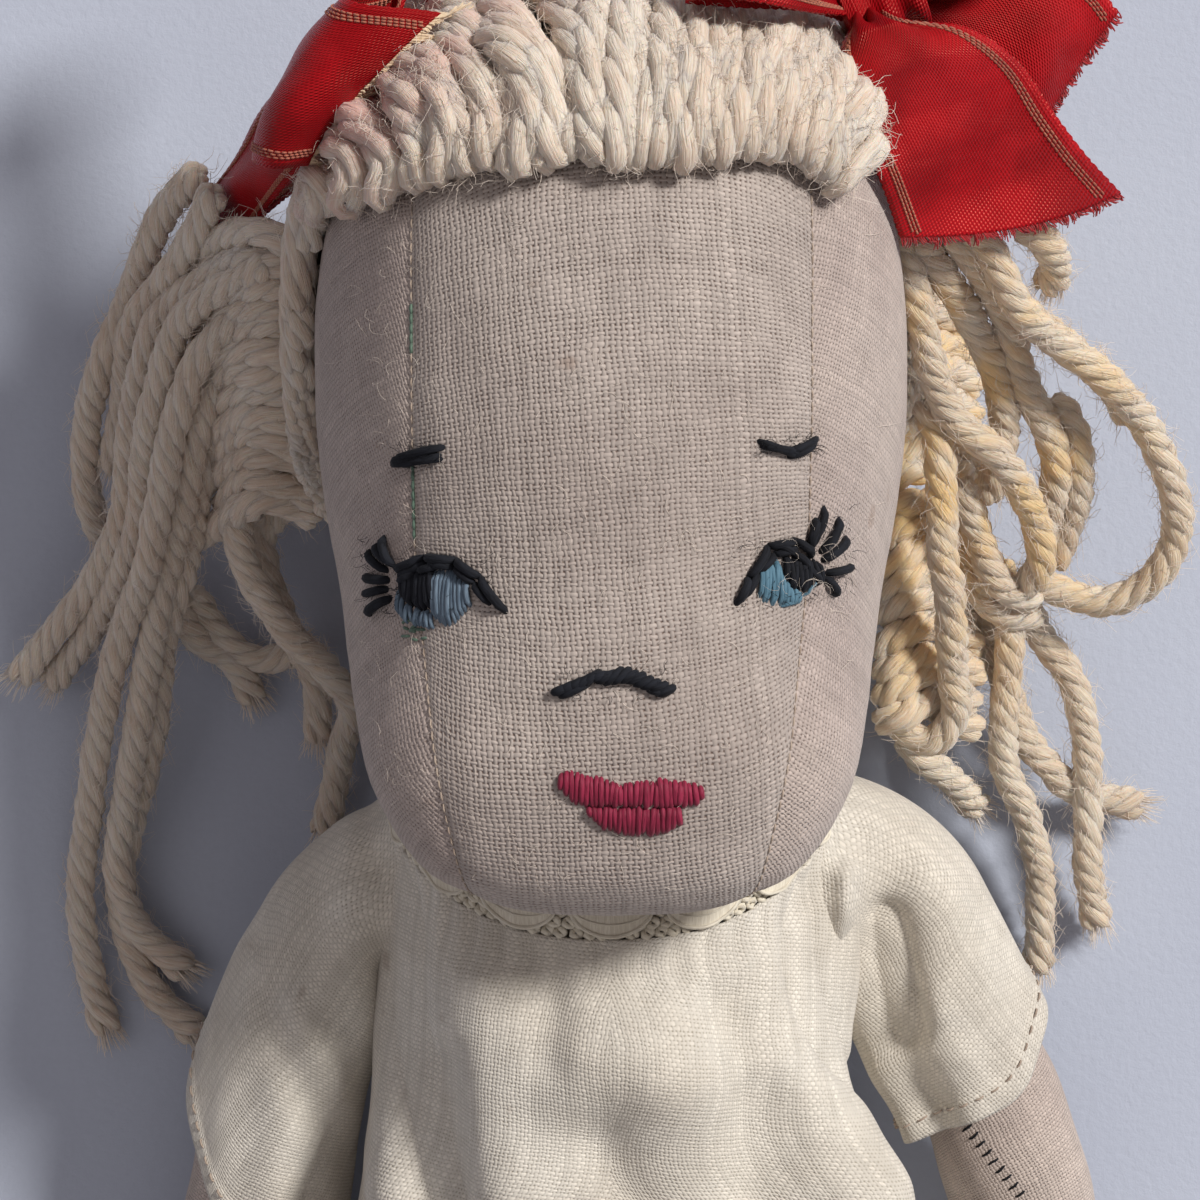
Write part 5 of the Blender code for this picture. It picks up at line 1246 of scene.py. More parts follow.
def solidify(obj, thick, offset=-1.0):
    """Gives a sheet its thickness, and applies it."""
    bpy.context.view_layer.objects.active = obj
    made = obj.modifiers.new("thickness", "SOLIDIFY")
    made.thickness = thick * MM
    made.offset = offset
    bpy.ops.object.modifier_apply(modifier=made.name)
    return obj


# Smock: folds of the cloth in front view as lines of pixels, with how far they rise and how wide they are, in mm
SMOCK_Z = 44.0
fold_lines = [
    ([(800, 850), (798, 978), (816, 1062), (852, 1106), (880, 1150)], -4.2, 1.7),
    ([(846, 880), (850, 978), (870, 1050), (898, 1092), (932, 1150), (942, 1200)], 4.4, 1.8),
    ([(890, 925), (902, 985), (912, 1036)], -5.0, 2.2),
    ([(925, 890), (950, 960), (942, 1040), (914, 1080)], 1.8, 3.0),
    ([(585, 1050), (625, 1045), (670, 1070)], 3.2, 7.0),
    ([(690, 930), (690, 1000), (640, 1060)], 0.9, 5.0),
    ([(400, 880), (400, 1000), (425, 1150), (440, 1200)], -3.0, 3.0),
    ([(345, 840), (350, 950), (372, 1080), (400, 1200)], 1.8, 3.2),
    ([(480, 930), (490, 1040), (520, 1180)], 1.1, 4.5),
    ([(545, 940), (556, 1000), (560, 1050)], -0.9, 2.6),
    ([(760, 1060), (790, 1130), (800, 1200)], 1.4, 3.4),
    ([(715, 1000), (742, 1100), (750, 1200)], -1.5, 3.2),
    ([(600, 1130), (640, 1200)], -1.1, 3.2),
    ([(455, 1060), (470, 1200)], -1.0, 2.4),
    ([(290, 1012), (328, 1102), (370, 1197)], 1.3, 2.2),
    ([(262, 1010), (300, 1110), (345, 1197)], -1.0, 2.4),
    ([(230, 960), (262, 1050), (300, 1150)], 0.7, 3.0),
    ([(960, 900), (985, 980), (975, 1060)], 0.8, 3.0),
    ([(950, 1040), (925, 1085), (940, 1120)], -0.9, 2.0),
]


def near_lines(points, lines, z):
    """Sum over fold lines of rise, falling off with the distance in front view."""
    out = np.zeros(points.shape[:-1])
    for pixels, rise, wide in lines:
        spots = smooth_line([place(px, py, z) for px, py in pixels], 2.0)[:, :2]
        best = np.full(points.shape[:-1], 1e9)
        for a, b in zip(spots, spots[1:]):
            d = b - a
            t = np.clip(((points[..., :2] - a) @ d) / (d @ d), 0, 1)
            best = np.minimum(best, np.linalg.norm(points[..., :2] - a - t[..., None] * d, axis=-1))
        out += rise * np.exp(-((best / wide) ** 2))
    return out


SMOCK_HEM_Y, NECKLINE_Y, NECKLINE_BACK_Y, NECKLINE_SIDE_Y, NECKLINE_POWER = -28.0, 43.0, 56.0, 59.2, 1.4
SCALLOP_WIDE = 9.7


def neckline(angle):
    turn = np.cos(angle)
    low_end = np.where(turn > 0, NECKLINE_Y, NECKLINE_BACK_Y)
    return NECKLINE_SIDE_Y + (low_end - NECKLINE_SIDE_Y) * np.abs(turn) ** NECKLINE_POWER


# The fold that the smock throws over the arm in the image's right: y and how far it stands out there, in mm
FLARE_AT, FLARE_WIDE, FLARE_LIFT = 56.0, 19.0, 0.30
flare_table = [(-28, 0.0), (-16, 0.8), (-2, 4.5), (8, 8.6), (14, 8.4), (20, 5.6), (26, 3.2), (34, 1.4),
               (42, 0.3), (48, 0.0), (70, 0.0)]
# Folds towards the hem: angle and width in degrees, height as a share
low_folds = [(-56, 9, 0.8), (-34, 8, 0.75), (2, 13, 1.0), (30, 6, 0.55), (45, 5, 0.9), (63, 7, 0.8)]


def smock_form():
    rows, columns = 170, 340
    angle = np.linspace(0, TAU, columns, endpoint=False)
    top = neckline(angle)
    share = np.linspace(0, 1, rows) ** 0.9
    y = SMOCK_HEM_Y + (top[None] - SMOCK_HEM_Y) * share[:, None]
    plain = torso_points(y, angle[None], 1.6)
    front = np.clip(np.cos(angle), 0, 1)[None] ** 0.5
    rise = near_lines(plain, fold_lines, SMOCK_Z) * front * 1.25
    fade = np.clip((top[None] - y) / 7.0, 0, 1)
    lower = np.clip((12 - y) / 18, 0, 1)
    degrees = (np.degrees(angle) + 180) % 360 - 180
    wave = np.zeros(columns)
    for middle, wide, tall in low_folds:
        wave += tall * np.exp(-(((degrees - middle) / wide) ** 2))
    side = np.abs(np.sin(angle)) ** 6
    down = np.clip((NECKLINE_Y - y) / (NECKLINE_Y - SMOCK_HEM_Y), 0, 1)
    out = 1.8 + rise * fade * (1 - 0.4 * side[None]) * (1 - lower)
    out = out + 2.4 * wave[None] * lower * (1 - side[None])
    out = out + 3.0 * down * np.clip(np.cos(angle), 0, 1)[None] * (1 - side[None])
    out = out + 0.25 * np.sin(angle * 11)[None] * np.clip(down * 2, 0, 1) * (np.cos(angle) > 0)[None]
    back = np.clip(-np.cos(angle), 0, 1)[None] * (1 - side[None])
    out = out + 0.5 * back * np.sin(angle * 9 + 0.04 * y) * np.clip(down * 3, 0, 1)
    hem = 0.25 * np.clip((SMOCK_HEM_Y + 4.5 - y) / 0.8, 0, 1)
    gather = 0.25 * np.sin(angle * 52 + 0.6 * np.sin(angle * 5))[None] * np.exp(-(top[None] - y) / 4.5)
    points = torso_points(y, angle[None], np.maximum(out + gather + hem, 0.95))
    flare = smooth_table(flare_table, y)[0] * np.exp(-(((degrees - FLARE_AT) / FLARE_WIDE) ** 2))[None]
    points[..., 0] += flare
    points[..., 2] = np.maximum(points[..., 2] + FLARE_LIFT * flare, 0.02)
    pile = Pile()
    marks = round_cloth(points)
    marks[..., 1] = y[:, list(range(columns)) + [0]]
    pile.grid(points, marks, wraps=True, flip=True)
    made = pile.object("smock_cloth", COTTON)
    return solidify(made, 0.5)


smock = smock_form()
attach(smock, "torso")
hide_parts("smock_front", "smock_back")

# Sleeves: each starts inside the smock's side, spreads there into the shoulder, and ends in a tilted hem
SLEEVE_START_X, SLEEVE_FLARE = 17.5, 8.5


def sleeve_form(mark):
    shape = arms[mark]
    rows, columns = 96, 168
    turns = np.linspace(0, TAU, columns, endpoint=False)
    outer, top = np.clip(-np.cos(turns), 0, 1), np.clip(np.sin(turns), 0, 1)
    start = leaving(shape, turns, 0.0, SLEEVE_START_X)
    end = shape["sleeve"] - shape["hem_rise"] * outer**2
    share = np.linspace(0, 1, rows)
    along = start[None] + (end - start)[None] * share[:, None]
    root = np.exp(-(((along - start[None]) / SLEEVE_FLARE) ** 2))
    under = np.clip(np.cos(turns), 0, 1)[None] * np.clip(np.sin(turns) + 0.2, 0, 1)[None]
    flare = root * (10.0 * top[None] ** 1.3 + (5.0 if mark == "r" else 2.5) * outer[None] + 5.0 * under)
    puff = shape["puff"] * outer[None] + 0.3 * np.sin(share * math.pi)[:, None]
    gathers = 0.30 * np.sin(turns * 13 + 1.5 * np.sin(turns * 2))[None] * root
    folds = 0.40 * np.sin(turns * 5 + 1.0)[None] * share[:, None] * (1.3 - outer[None])
    folds = folds + 0.22 * np.sin(turns * 9 + share[:, None] * 3) * share[:, None]
    hem = 0.22 * np.clip((along - end[None] + 3.4) / 0.7, 0, 1)
    out = 2.0 + flare + puff + gathers + folds + hem
    first = arm_points(shape, along, turns[None], out)
    out = out + near_lines(first, fold_lines, 38.0) * top[None] ** 0.7 * np.clip(share * 14, 0, 1)[:,
                            None] * 0.85
    points = arm_points(shape, along, turns[None], np.maximum(out, 1.1))
    pile = Pile()
    marks = round_cloth(points)
    pile.grid(points, marks, wraps=True, flip=shape["side"] > 0)
    made = pile.object("sleeve_cloth_" + mark, COTTON)
    solidify(made, 0.5)
    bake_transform(made)
    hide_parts("sleeve_" + mark)
    stitches = Pile()
    at_end = arm_points(shape, end - 2.6, turns, np.maximum(out[-1], 1.1) + 0.12)
    ring = np.concatenate((at_end, at_end[:1]))
    way = way_along(ring)
    at = 0.3
    while at < way[-1] - 1.4:
        spots = [at_way(at + d, way, ring) for d in (0.0, 0.35, 0.9, 1.25)]
        middle = ring.mean(0)
        lift = (-0.25, 0.14, 0.14, -0.25)
        spots = [s + unit(s - middle) * (lift[i]) for i, s in enumerate(spots)]
        stitches.tube(spots, 0.13, 5, at)
        at += 2.1
    stitches = stitches.object("sleeve_hem_stitches_" + mark, SEWING)
    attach(stitches, "arm_" + mark)


for mark in ("l", "r"):
    sleeve_form(mark)

# Neck edging: crocheted band and scallops


def neckline_way():
    """Angles round the neckline and the distance along it at each."""
    angle = np.linspace(-math.pi, math.pi, 721)
    line = torso_points(neckline(angle) + 2.0, angle, 2.0)
    way = way_along(line)
    return angle, way - way[360]


def edging():
    """A crocheted band of small knots on the neckline, and thin scallops that lie over it."""
    pile = Pile()
    angles, way = neckline_way()
    knot = 1.55
    for row, (back, out, radius) in enumerate(((0.6, 2.0, 0.36), (1.7, 2.3, 0.38), (2.8, 2.1, 0.34))):
        count = int((way[-1] - way[0]) / knot)
        for i in range(count):
            middle = way[0] + (i + 0.5 * (row % 2)) * (way[-1] - way[0]) / count + dice.uniform(-0.15, 0.15)
            spots = []
            for step in range(8):
                turn = TAU * step / 7
                a = np.interp(middle + 0.52 * math.cos(turn), way, angles)
                y = min(float(neckline(a)) + back + 0.42 * math.sin(turn) + dice.uniform(-0.06, 0.06),
                        SHOULDER_Y - 0.2)
                spots.append(torso_points(y, a, out + 0.3 * math.sin(turn * 2)))
            pile.tube(np.array(spots), radius * dice.uniform(0.85, 1.1), 6, i * 1.7)
    scallops = int((way[-1] - way[0]) / SCALLOP_WIDE)
    for i in range(-(scallops // 2), scallops // 2 + 1):
        middle = i * (way[-1] - way[0]) / scallops
        rows = []
        share = np.linspace(-1, 1, 15)
        a = np.interp(middle + share * SCALLOP_WIDE * 0.48, way, angles)
        low = 0.4 + 3.6 * (1 - (1 - share**2) ** 0.55)
        for step in np.linspace(0, 1, 6):
            y = np.minimum(neckline(a) + low + (4.6 - low) * step, SHOULDER_Y - 0.2)
            rows.append(torso_points(y, a, 3.0 + 0.25 * math.sin(step * 3) + 0.12 * np.cos(share * 9)))
        rows = np.array(rows)
        pile.grid(rows, np.stack(np.meshgrid(share * 5, np.linspace(0, 3, 6)), -1))
        for line, radius in ((rows[0], 0.24), (rows[2] * 0.6 + rows[1] * 0.4, 0.12)):
            pile.tube(line, radius, 5, i * 2.0)
    return pile.object("neck_crochet", LACE)


lace = edging()
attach(lace, "torso")
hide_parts("neck_edging")

# Bloomers


def seat_form():
    rows, columns = 50, 160
    y = np.linspace(SMOCK_HEM_Y + 1.5, HIP_Y + 8, rows)
    angle = np.linspace(0, TAU, columns, endpoint=False)
    gather = 0.35 * np.sin(angle * 23)[None] * (0.5 + 0.5 * np.sin(y * 0.4))[:, None]
    out = 1.5 + gather + 0.3 * np.sin(angle * 7 + 1)[None]
    points = torso_points(y[:, None], angle[None], np.maximum(out, 0.9))
    points[..., 2] = np.maximum(points[..., 2], 0.02)
    pile = Pile()
    pile.grid(points, round_cloth(points), wraps=True)
    made = pile.object("bloomer_seat_cloth", COTTON)
    return solidify(made, 0.5)


seat = seat_form()
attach(seat, "torso")
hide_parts("bloomer_seat")

for side, mark in ((1, "l"), (-1, "r")):
    rows, columns = 110, 120
    along = np.linspace(-10, 62, rows)
    turns = np.linspace(0, TAU, columns, endpoint=False)
    gather = 0.45 * np.sin(turns * 19)[None] * (np.clip((along - 44) / 18, 0, 1) ** 1.5)[:, None]
    waist = 0.35 * np.sin(turns * 17 + 1)[None] * np.clip((10 - along) / 20, 0, 1)[:, None]
    out = 1.4 + gather + waist + 0.35 * np.sin(turns * 5 + side)[None] * np.sin(along * 0.12)[:, None]
    points = leg_grid(side, np.maximum(along, 12.0), turns, np.maximum(out, 0.8))
    points[..., 1] = HIP_Y - along[:, None]
    pile = Pile()
    pile.grid(points, round_cloth(points), wraps=True, flip=True)
    bloomer = pile.object("bloomer_cloth_" + mark, COTTON)
    solidify(bloomer, 0.5)
    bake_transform(bloomer)
    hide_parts("bloomer_leg_" + mark)
    pile = Pile()
    for row in range(4):
        count = 62
        for i in range(count):
            turn = TAU * (i + 0.5 * (row % 2)) / count
            spots = []
            for step in range(7):
                t = TAU * step / 6
                ring = leg_grid(side, np.array([62.8 + row * 1.3 + 0.6 * math.sin(t)]),
                                np.array([turn + 0.06 * math.cos(t)]), 1.0 + 0.25 * math.sin(2 * t))
                spots.append(ring[0, 0])
            pile.tube(np.array(spots), 0.24, 5, i)
    cuff = pile.object("cuff_crochet_" + mark, LACE)
    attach(cuff, "leg_" + mark)
    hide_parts("bloomer_cuff_" + mark)

# Hair


PLY_SHARE = 0.54  # how thick a ply is, as a share of the strand


def yarn(pile, points, radius, pitch, step=0.7, fray=0.0, plies=4, taper=1.2):
    """One strand of twisted plies along a smooth line; fray is how far back from its end the plies loosen."""
    line = smooth_line(points, step)
    wide, tall = frames(line)
    way = way_along(line)
    total = way[-1]
    phase = dice.uniform(0, TAU)
    loose = np.clip((way - (total - fray)) / max(fray, 1e-6), 0, 1) if fray else np.zeros(len(line))
    ends = np.minimum(np.minimum(way, total - way) / taper, 1.0)
    ends = np.sqrt(np.clip(1 - (1 - ends) ** 2, 0.05, 1))
    lumps = 0.06 * np.sin(way * 0.9 + phase) + 0.04 * np.sin(way * 2.3 + 2 * phase)
    thick = radius * PLY_SHARE * (1 + lumps) * ends * (1 - 0.25 * loose)
    twist = phase + TAU * way / pitch + 0.35 * np.sin(way * 0.35 + phase)
    for ply in range(plies):
        turn = twist + TAU * ply / plies
        off = radius * (1 - PLY_SHARE) * (1 + 0.9 * loose**1.5) * (1 + 0.05 * math.sin(ply * 2.1 + phase))
        centre = line + wide * (np.cos(turn) * off)[:, None] + tall * (np.sin(turn) * off)[:, None]
        centre[:, 2] = np.maximum(centre[:, 2], thick + 0.02)
        pile.tube(centre, thick, 7, cloth_start=dice.uniform(0, 90))
    return line


def fibres(pile, line, spread_mm, every, length, rise=1.5, radius=0.034):
    """Loose curled fibres that leave a strand and lie along it."""
    way = way_along(line)
    count = max(1, int(way[-1] / every))
    at = rng.uniform(0, way[-1], count)
    spot = at_way(at, way, line)
    wide, tall = frames(line)
    index = np.minimum(np.searchsorted(way, at), len(line) - 2)
    turn = rng.uniform(0, TAU, count)
    out = wide[index] * np.cos(turn)[:, None] + tall[index] * np.sin(turn)[:, None]
    along = unit(line[index + 1] - line[index]) * rng.choice((-1.0, 1.0), count)[:, None]
    side = np.cross(out, along)
    reach, bend = length * rng.uniform(0.3, 1.4, count), rng.uniform(-1, 1, count)
    curl, phase = rng.uniform(0.15, 0.8, count), rng.uniform(0, TAU, count)
    t = np.linspace(0, 1, 7)[None, :]
    lift = spread_mm * 0.85 + rise * rng.uniform(0.2, 1.2, count)[:, None] * t
    sway = bend[:, None] * reach[:, None] * 0.5 * t**2 + curl[:,
                            None] * (np.sin(phase[:, None] + 5 * t) - np.sin(phase)[:, None])
    spots = spot[:, None] + out[:, None] * lift[..., None] + along[:,
                            None] * (reach[:, None] * 0.8 * t)[..., None]
    spots = spots + side[:, None] * sway[..., None]
    spots[..., 2] = np.maximum(spots[..., 2], 0.1)
    pile.many(spots, radius)


def tassel(pile, line, radius, count=70, length=2.8):
    """The soft tuft at the cut end of a strand."""
    tip, along = line[-1], unit(line[-1] - line[-3])
    wide, tall = frames(line)
    turn, off = rng.uniform(0, TAU, count), radius * np.sqrt(rng.uniform(0, 1, count))
    out = wide[-1] * np.cos(turn)[:, None] + tall[-1] * np.sin(turn)[:, None]
    reach = length * rng.uniform(0.2, 1.0, count)
    t = np.linspace(0, 1, 7)[None, :]
    start = tip - along * 1.2 + out * off[:, None]
    spread_out = (off[:, None] * 0.5 + 0.3) * t**1.4 + 0.12 * np.sin(turn[:, None] * 3 + 6 * t)
    spots = start[:, None] + along * ((reach + 1.2)[:, None] * t)[..., None] + out[:,
                            None] * spread_out[..., None]
    spots[..., 2] = np.maximum(spots[..., 2], 0.12)
    pile.many(spots, 0.07)


def route(*stops):
    return [place(px, py, z) for px, py, z in stops]


def lifted(stops, gap):
    """A route of pixels laid on the head: each stop is (px, py, distance over the cloth)."""
    out = []
    for px, py, over in stops:
        spot, normal = on_face(px, py)
        if spot is None:
            spot, normal = place(px, py, 40), np.array((0, 0, 1.0))
        out.append(spot + normal * (over + gap))
    return out


hair_top, hair_left, hair_right = Pile(), Pile(), Pile()
fuzz_top, fuzz_left, fuzz_right = Pile(), Pile(), Pile()

# Fringe: loops of yarn laid over the forehead, each given by pixels and its distance over the cloth
fringe_left = [
    [(426, 42, 5.4), (465, 73, 5.0), (491, 103, 4.2), (500, 134, 3.0), (492, 163, 1.8)],
    [(415, 57, 4.6), (453, 96, 4.6), (474, 124, 4.0), (480, 150, 2.8), (472, 170, 1.8)],
    [(468, 30, 5.4), (514, 66, 5.2), (545, 94, 4.2), (555, 124, 3.0), (548, 160, 1.8)],
    [(455, 48, 4.4), (500, 84, 4.6), (527, 110, 4.0), (534, 140, 2.8), (524, 167, 1.8)],
    [(499, 6, 5.0), (540, 44, 5.0), (570, 78, 4.0), (580, 110, 2.8), (574, 146, 1.6)],
    [(377, 88, 4.6), (411, 108, 4.6), (432, 134, 3.8), (440, 160, 2.6), (430, 182, 1.8)],
    [(380, 76, 5.4), (424, 96, 5.4), (452, 126, 4.4), (460, 152, 3.2), (452, 178, 1.8)],
    [(357, 118, 4.2), (388, 138, 4.4), (408, 158, 3.4), (410, 180, 2.4), (396, 198, 1.8)],
    [(340, 142, 3.6), (362, 156, 4.0), (380, 172, 3.2), (380, 192, 2.4), (364, 206, 1.8)],
    [(316, 156, 3.4), (334, 168, 3.8), (350, 184, 3.0), (346, 202, 2.2), (330, 214, 1.6)],
    [(400, 20, 5.2), (440, 40, 5.8), (470, 62, 5.4), (490, 84, 5.0)],
    [(512, -20, 5.0), (548, 16, 5.2), (574, 50, 4.4), (584, 84, 3.0), (582, 120, 2.0)],
]
fringe_right = []
# Each leaning strand: the pixel of its tip, how far its upper end stands to the right, and how high
for tip_x, tip_y, lean, tall in (
    (596, 158, 14, 160), (616, 162, 22, 165), (638, 160, 34, 168), (660, 162, 48, 165), (680, 158, 62, 160),
    (700, 158, 72, 150), (718, 157, 74, 138), (738, 156, 74, 124), (757, 156, 66, 110), (776, 157, 54, 94),
    (790, 161, 42, 78), (803, 168, 32, 62), (814, 177, 22, 46), (822, 188, 12, 32),
):
    fringe_right.append([
        (tip_x + lean, tip_y - tall, 4.6 - 0.008 * (tip_x - 596)), (tip_x + lean * 0.66,
                                tip_y - tall * 0.62, 4.8),
        (tip_x + lean * 0.32, tip_y - tall * 0.34, 4.2), (tip_x + lean * 0.08, tip_y - tall * 0.13,
                                3.0), (tip_x, tip_y, 1.7),
    ])
for strand in fringe_left + fringe_right:
    for layer in (0, 1):
        shift_x, shift_y = (0, 0) if layer == 0 else (dice.uniform(8, 14) * dice.choice((-1, 1)),
                                dice.uniform(-18, -8))
        bow, stops = dice.uniform(-9, 9), []
        for i, (px, py, over) in enumerate(strand):
            sway = bow * math.sin(math.pi * i / (len(strand) - 1))
            stops.append((px + shift_x + sway + dice.uniform(-3, 3), py + shift_y + dice.uniform(-3, 3),
                          over + 0.3 - 0.7 * layer))
        tip = stops[-1]
        stops.append((tip[0] + dice.uniform(-7, 5), tip[1] + dice.uniform(-2, 5), 0.7))
        line = yarn(hair_top, lifted(stops, 0.2), dice.uniform(1.9, 2.6), dice.uniform(16, 24), plies=4,
                    taper=1.8)
        fibres(fuzz_top, line, 1.85, 0.11, 2.8, radius=0.046)

hair = hair_top.object("hair_fringe_yarn", YARN)
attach(hair, "head")
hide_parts("hair_fringe_l", "hair_fringe_r")

# Crown and back: strands laid side by side over the cap
PARTING = -4.6
crown = Pile()
CAP_TILT, CAP_OPEN = math.radians(-46), math.radians(73)
for side in (-1, 1):
    for i in range(33):
        theta = math.radians(30 - i * 4.4)
        lowest = math.cos(CAP_OPEN) / max(math.cos(theta - CAP_TILT), 0.05)
        if lowest >= 1:
            continue
        reach = math.acos(lowest)
        stops = []
        for t in np.linspace(0, 1, 12):
            phi = side * (math.radians(1.5) + reach * t)
            bend = math.radians(7) * math.sin(math.pi * t) + math.radians(dice.uniform(-0.5, 0.5))
            d = turned(theta + bend, phi + PARTING / 33)
            over = 2.2 + 0.8 * math.sin(math.pi * t) + 0.35 * ((i % 2) * 2 - 1)
            stops.append(head_points(d[None], over)[0])
        stops = np.array(stops)
        stops[:, 2] = np.maximum(stops[:, 2], 1.8)
        line = yarn(crown, stops, 1.85, 13.0, step=1.0)
        fibres(fuzz_top, line, 1.75, 0.8, 3.5)
crown = crown.object("hair_crown_yarn", YARN)
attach(crown, "head")
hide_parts("hair_cap")

left_routes = [
    (route((258, 250, 42), (172, 304, 30), (147, 354, 26), (130, 438, 22), (125, 509, 18), (102, 565, 14),
           (77, 604, 10), (18, 678, 6)), 3.0),
    (route((270, 262, 44), (190, 312, 34), (163, 372, 30), (146, 446, 26), (140, 520, 20), (118, 582, 14),
           (92, 630, 8), (51, 683, 4)), 3.0),
    (route((200, 170, 40), (160, 220, 32), (130, 298, 22), (96, 382, 16), (85, 452, 12), (91, 509, 8),
           (102, 537, 6)), 2.0),
    (route((215, 190, 42), (183, 256, 34), (133, 326, 22), (125, 396, 16), (112, 470, 12)), 2.0),
    (route((262, 300, 38), (205, 350, 34), (176, 420, 30), (160, 500, 26), (146, 570, 20), (120, 640, 14),
           (100, 730, 10), (88, 820, 6), (80, 900, 4), (92, 980, 3), (108, 1032, 2)), 5.0),
    (route((270, 330, 34), (220, 380, 30), (196, 440, 27), (180, 520, 22), (160, 600, 16), (142, 700, 12),
           (126, 800, 8), (118, 870, 6), (140, 930, 4), (188, 971, 3)), 5.0),
    (route((276, 350, 30), (232, 400, 27), (204, 470, 23), (186, 560, 17), (164, 640, 12), (152, 740, 8),
           (130, 830, 5), (120, 900, 3), (146, 980, 2.5), (198, 1035, 2)), 5.0),
    (route((300, 470, 26), (240, 500, 24), (238, 530, 22), (246, 566, 20), (281, 624, 16), (327, 670, 12),
           (353, 705, 9), (344, 740, 6), (332, 798, 4), (325, 834, 3)), 4.0),
    (route((290, 500, 18), (262, 540, 14), (280, 610, 10), (315, 680, 6), (318, 740, 4)), 3.0),
    (route((140, 566, 14), (180, 548, 16), (217, 526, 18), (262, 510, 20)), 0.0),
    (route((170, 600, 10), (200, 640, 6), (232, 660, 4), (255, 701, 3)), 4.0),
    (route((190, 590, 8), (225, 640, 5), (262, 660, 4), (300, 650, 4)), 4.0),
]
for stops, fray in left_routes:
    line = yarn(hair_left, stops, 1.9, dice.uniform(9.5, 11.5), fray=fray)
    fibres(fuzz_left, line, 1.8, 0.14, 3.2, radius=0.042)
    if fray:
        tassel(fuzz_left, line, 1.5)
# Stacked rows beside the face
for i in range(13):
    y = 236 + i * 22
    a, b, c, d = (dice.uniform(-7, 7) for _ in range(4))
    stops = route((186 + 3 * i + a, y + 30 + b, 30 - i), (222 + 2 * i, y + 8 + c, 38 - i),
                  (262, y + 2 + d, 44 - i * 1.4),
                  (296, y + 10 + a, 44 - i * 1.6), (318, y + 24 + b, 36 - i))
    line = yarn(hair_left, stops, dice.uniform(1.8, 2.2), dice.uniform(11, 16))
    fibres(fuzz_left, line, 1.7, 0.2, 3.0, radius=0.042)

right_routes = [
    (route((888, 225, 48), (908, 257, 46), (928, 353, 40), (953, 417, 36), (998, 455, 34), (1030, 506, 30),
           (1042, 560, 26), (1023, 589, 22)), 0.0),
    (route((915, 235, 48), (937, 264, 44), (972, 321, 38), (998, 379, 32), (1004, 439, 28), (985, 500, 22)),
     0.0),
    (route((950, 230, 48), (972, 257, 44), (1004, 312, 38), (1023, 379, 32), (1052, 442, 28),
           (1055, 487, 24), (1040, 540, 20)), 0.0),
    (route((960, 222, 48), (988, 248, 46), (1023, 312, 42), (1074, 353, 38), (1119, 391, 34),
           (1148, 430, 30), (1173, 487, 27), (1176, 538, 24), (1151, 580, 22), (1106, 602, 20), (1055, 589,
                                   20), (1030, 576, 20)), 0.0),
    (route((980, 240, 44), (1012, 300, 40), (1060, 340, 36), (1110, 384, 30), (1130, 420, 27)), 0.0),
    (route((1050, 400, 28), (1071, 423, 27), (1080, 471, 24), (1071, 519, 20), (1052, 567, 16)), 0.0),
    (route((925, 400, 34), (940, 455, 34), (943, 551, 32), (950, 595, 30), (953, 670, 26), (956, 712, 24),
           (929, 742, 22), (890, 718, 22)), 0.0),
    (route((905, 735, 16), (920, 757, 14), (950, 778, 12), (977, 808, 8)), 5.0),
    (route((1000, 560, 20), (1010, 619, 18), (1007, 685, 15), (1004, 760, 12), (1028, 820, 9),
           (1040, 874, 7), (1040, 925, 5), (1037, 970, 3)), 4.0),
    (route((1020, 590, 16), (1040, 634, 14), (1070, 676, 12), (1085, 730, 10), (1088, 790, 8),
           (1088, 865, 6), (1097, 925, 4)), 4.0),
    (route((970, 590, 14), (986, 625, 12), (1022, 730, 10), (1052, 769, 8), (1076, 790, 6), (1139, 805, 4)),
     5.0),
    (route((960, 480, 30), (980, 540, 27), (1000, 585, 24), (1036, 600, 20)), 0.0),
    (route((958, 520, 24), (975, 580, 22), (1000, 612, 20), (1040, 616, 17)), 0.0),
    (route((1015, 226, 46), (1040, 236, 46), (1056, 262, 42), (1050, 285, 38)), 3.0),
]
for stops, fray in right_routes:
    line = yarn(hair_right, stops, 1.95, dice.uniform(9.0, 11.0), fray=fray)
    fibres(fuzz_right, line, 1.85, 0.12, 3.2, radius=0.042)
    if fray:
        tassel(fuzz_right, line, 1.5)
for i in range(17):
    y = 290 + i * 26
    a, b, c, d = (dice.uniform(-7, 7) for _ in range(4))
    stops = route((878, y + 20 + a, 22), (900, y + 6 + b, 24), (925, y - 2 + c, 22),
                  (952 + a, y + 6 + d, 18), (972 + b, y + 24, 14))
    line = yarn(hair_right, stops, dice.uniform(1.8, 2.1), dice.uniform(11, 16))
    fibres(fuzz_right, line, 1.7, 0.25, 3.0, radius=0.042)

for pile, fuzz, mark in ((hair_right, fuzz_right, "l"), (hair_left, fuzz_left, "r")):
    side_hair = pile.object("hair_side_yarn_" + mark, YARN_PAINTED_GLOW if mark == "l" else YARN)
    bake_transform(side_hair)
    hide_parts("hair_side_" + mark)
    side_fuzz = fuzz.object("hair_side_fibres_" + mark, FUZZ)
    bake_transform(side_fuzz)
top_fuzz = fuzz_top.object("hair_top_fibres", FUZZ)
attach(top_fuzz, "head")

# Bows


RIBBON_WIDTH = 22.0
knots = {"l": np.array((27.7, 144.0, 60.0)), "r": np.array((-20.0, 149.0, 60.0))}
